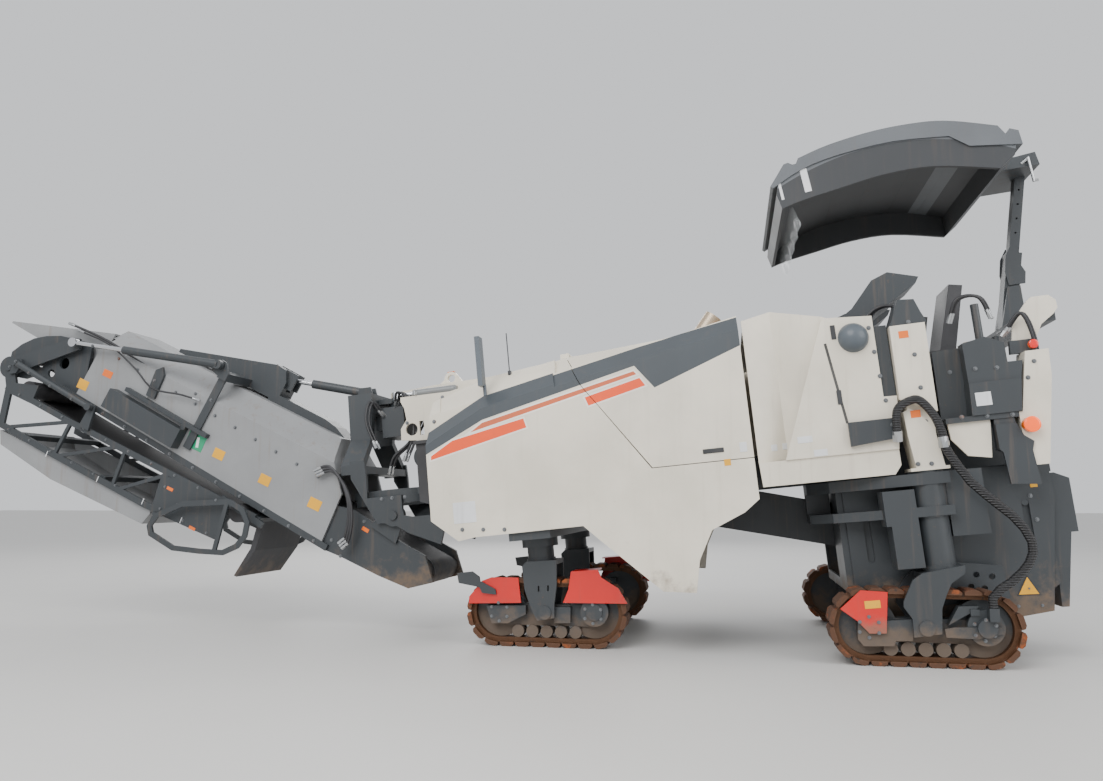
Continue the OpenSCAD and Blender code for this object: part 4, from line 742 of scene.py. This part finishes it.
def layCurtain():
    form, columns = workOf("clearSheet", "canopy"), curtain["columns"]
    for layer in (0, curtain["thick"]):
        grid = []
        for row in range(curtain["rows"] + 1):
            down = row / curtain["rows"]
            z = curtain["top"] - down * (curtain["top"] - curtain["bottom"])
            grid.append([])
            for k in range(columns + 1):
                wave = curtain["ripple"] * math.sin(k * curtain["waves"]) * down
                x = curtain["x"] + layer - curtain["swing"] * down ** 2 + wave
                y = curtain["half"] * (2 * k / columns - 1)
                grid[-1].append(form.verts.new(chassisSpot @ Vector((x, y, z))))
        for upper, lower in zip(grid, grid[1:]):
            for k in range(columns):
                form.faces.new((upper[k], upper[k + 1], lower[k + 1], lower[k]))


layCurtain()
mastHandle = {"radius": 0.012, "rods": (((-1.5, 0.325, 3.9), (-1.55, 0.35, 3.93)),
                                        ((-1.55, 0.35, 3.94), (-1.565, 0.35, 3.72)),
                                        ((-1.565, 0.35, 3.73), (-1.6, 0.35, 3.73)))}
for a, b in mastHandle["rods"]:
    a, b = chassisSpot @ Vector(a), chassisSpot @ Vector(b)
    addRod(workOf("bareSteel", "canopy"), a, b, mastHandle["radius"])

# on top: antenna, orange tag and two shackles
antenna = {"at": (2.966, 0.95), "rods": ((-0.004, 0.03, 0.016), (0.028, 0.36, 0.005))}  # start, end, radius
for hit, normal, body in topHits(*antenna["at"]):
    up = chassisSpot.to_3x3() @ Vector((0, 0, 1))
    for start, stop, radius in antenna["rods"]:
        addRod(workOf("blackTrim", body), hit + up * start, hit + up * stop, radius)
topTag = {"at": (3.775, 0.0), "size": (0.07, 0.05, 0.006)}
for hit, normal, body in topHits(*topTag["at"]):
    addBox(workOf("orangeSigns", body), facing(hit, normal, Vector((1, 0, 0))), topTag["size"])
shackle = {"x": 4.0, "y": 0.455, "lift": 0.01, "size": 0.022, "bar": 0.24, "rise": 1.1, "pin": 1.5,
           "steps": 10}  # bar, rise and pin are shares of the size


def addShackle(form, matrix):
    size, pin = shackle["size"], Vector((shackle["size"] * shackle["pin"], 0, 0))
    bow = [Vector((size * math.cos(t), 0, size * (shackle["rise"] + math.sin(t))))
           for t in (math.pi * k / shackle["steps"] for k in range(shackle["steps"] + 1))]
    path = [matrix @ point for point in [Vector((size, 0, 0))] + bow + [Vector((-size, 0, 0))]]
    addTube(form, path, size * shackle["bar"])
    addRod(form, matrix @ -pin, matrix @ pin, size * shackle["bar"])


for side in (1, -1):
    for hit, normal, body in topHits(shackle["x"], side * shackle["y"]):
        base = facing(hit + normal * shackle["lift"], normal, Vector((0, 1, 0)))
        addShackle(workOf("bareSteel", body), base)

# beacon and tail lamp lenses: a flat dome, as shares of the radius and heights
lenses = {"beaconLens": {"x": -0.955, "z": 1.652, "radius": 0.058},
          "redLens": {"x": -1.1, "z": 2.255, "radius": 0.034}}
lensDome = {"rings": ((1.0, -0.012), (1.0, 0.0), (0.92, 0.003), (0.72, 0.0045), (0.4, 0.0055)), "sides": 32}


def layLens(kind, x, z, radius):
    for hit, normal, body in sideHits(chassisSpot, x, z, least=0.9):
        form = workOf(kind, body)
        base = facing(hit, normal, chassisSpot.to_3x3() @ Vector((1, 0, 0)))
        turns = [math.tau * k / lensDome["sides"] for k in range(lensDome["sides"])]
        rings = []
        for share, high in lensDome["rings"]:
            around = [Vector((radius * share * math.cos(t), radius * share * math.sin(t), high)) for t in turns]
            rings.append([form.verts.new(base @ point) for point in around])
        skin(form, rings)


for kind, lens in lenses.items():
    layLens(kind, **lens)
print("small pieces laid out")

# each kind's finish, and the palette slot that it follows
pieceLooks = {
    "bolts": ("boltSteel", "cylinder_grey"), "fittings": ("bareSteel", "cylinder_grey"),
    "hoses": ("hoseRubber", "black_rubber"), "ribbedHose": ("ribbedRubber", "black_rubber"),
    "seams": ("seamDark", "black_rubber"), "blackTrim": ("trimBlack", "canopy_plastic"),
    "whiteSigns": ("signWhite", "cream_paint"), "yellowSigns": ("signYellow", "orange_lamp"),
    "orangeSigns": ("signOrange", "orange_lamp"), "greenSigns": ("signGreen", "canopy_plastic"),
    "bareSteel": ("bareSteel", "rod_chrome"), "clearSheet": ("clearVinyl", "canopy_plastic"),
    "beaconLens": ("glowOrange", "orange_lamp"), "redLens": ("lensRed", "orange_lamp"),
}
roundKinds = ("hoses", "ribbedHose", "beaconLens", "redLens", "clearSheet")
for name, (form, kind, body) in works.items():
    finish, slot = pieceLooks[kind]
    bmesh.ops.recalc_face_normals(form, faces=form.faces)
    mesh = bpy.data.meshes.new(name)
    form.to_mesh(mesh)
    form.free()
    mesh.materials.append(finishes[finish])
    for face in mesh.polygons:
        face.use_smooth = kind in roundKinds and len(face.vertices) == 4
    piece = bpy.data.objects.new(name, mesh)
    bpy.context.scene.collection.objects.link(piece)
    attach(piece, body)
print("small pieces made:", len(works))


def buildStage():
    stage = {"size": 160, "floor": (0.62, 0.61, 0.59), "patch": (0.8, 5.0), "patchShade": 0.93,
             "rough": 0.55, "sky": (0.93, 0.95, 0.98), "skyStrength": 0.92, "aim": (-0.5, 0, 1)}
    lamps = {"key": {"at": (2, 11, 10), "size": 9, "power": 1700},
             "fill": {"at": (-12, 6, 6), "size": 8, "power": 700},
             "rim": {"at": (3, -12, 9), "size": 9, "power": 900}}
    bpy.ops.mesh.primitive_plane_add(size=stage["size"], location=(0, 0, 0))
    floor = bpy.context.object
    floor.name = "floor"
    material, tree, shader = newMaterial("floorFinish")
    where = tree.nodes.new("ShaderNodeTexCoord").outputs["Object"]
    plug(tree, mixColour(tree, noise(tree, where, *stage["patch"]), stage["floor"],
                         tuple(c * stage["patchShade"] for c in stage["floor"])), shader.inputs["Base Color"])
    shader.inputs["Roughness"].default_value = stage["rough"]
    floor.data.materials.append(material)
    world = bpy.data.worlds.new("studio")
    bpy.context.scene.world = world
    world.use_nodes = True
    back = world.node_tree.nodes["Background"]
    back.inputs["Color"].default_value = (*stage["sky"], 1)
    back.inputs["Strength"].default_value = stage["skyStrength"]
    for name, lamp in lamps.items():
        light = bpy.data.lights.new(name, "AREA")
        light.shape, light.size, light.energy = "SQUARE", lamp["size"], lamp["power"]
        holder = bpy.data.objects.new(name, light)
        bpy.context.scene.collection.objects.link(holder)
        holder.location = lamp["at"]
        ahead = Vector(stage["aim"]) - Vector(lamp["at"])
        holder.rotation_euler = ahead.to_track_quat("-Z", "Y").to_euler()


buildStage()
print("stage built")
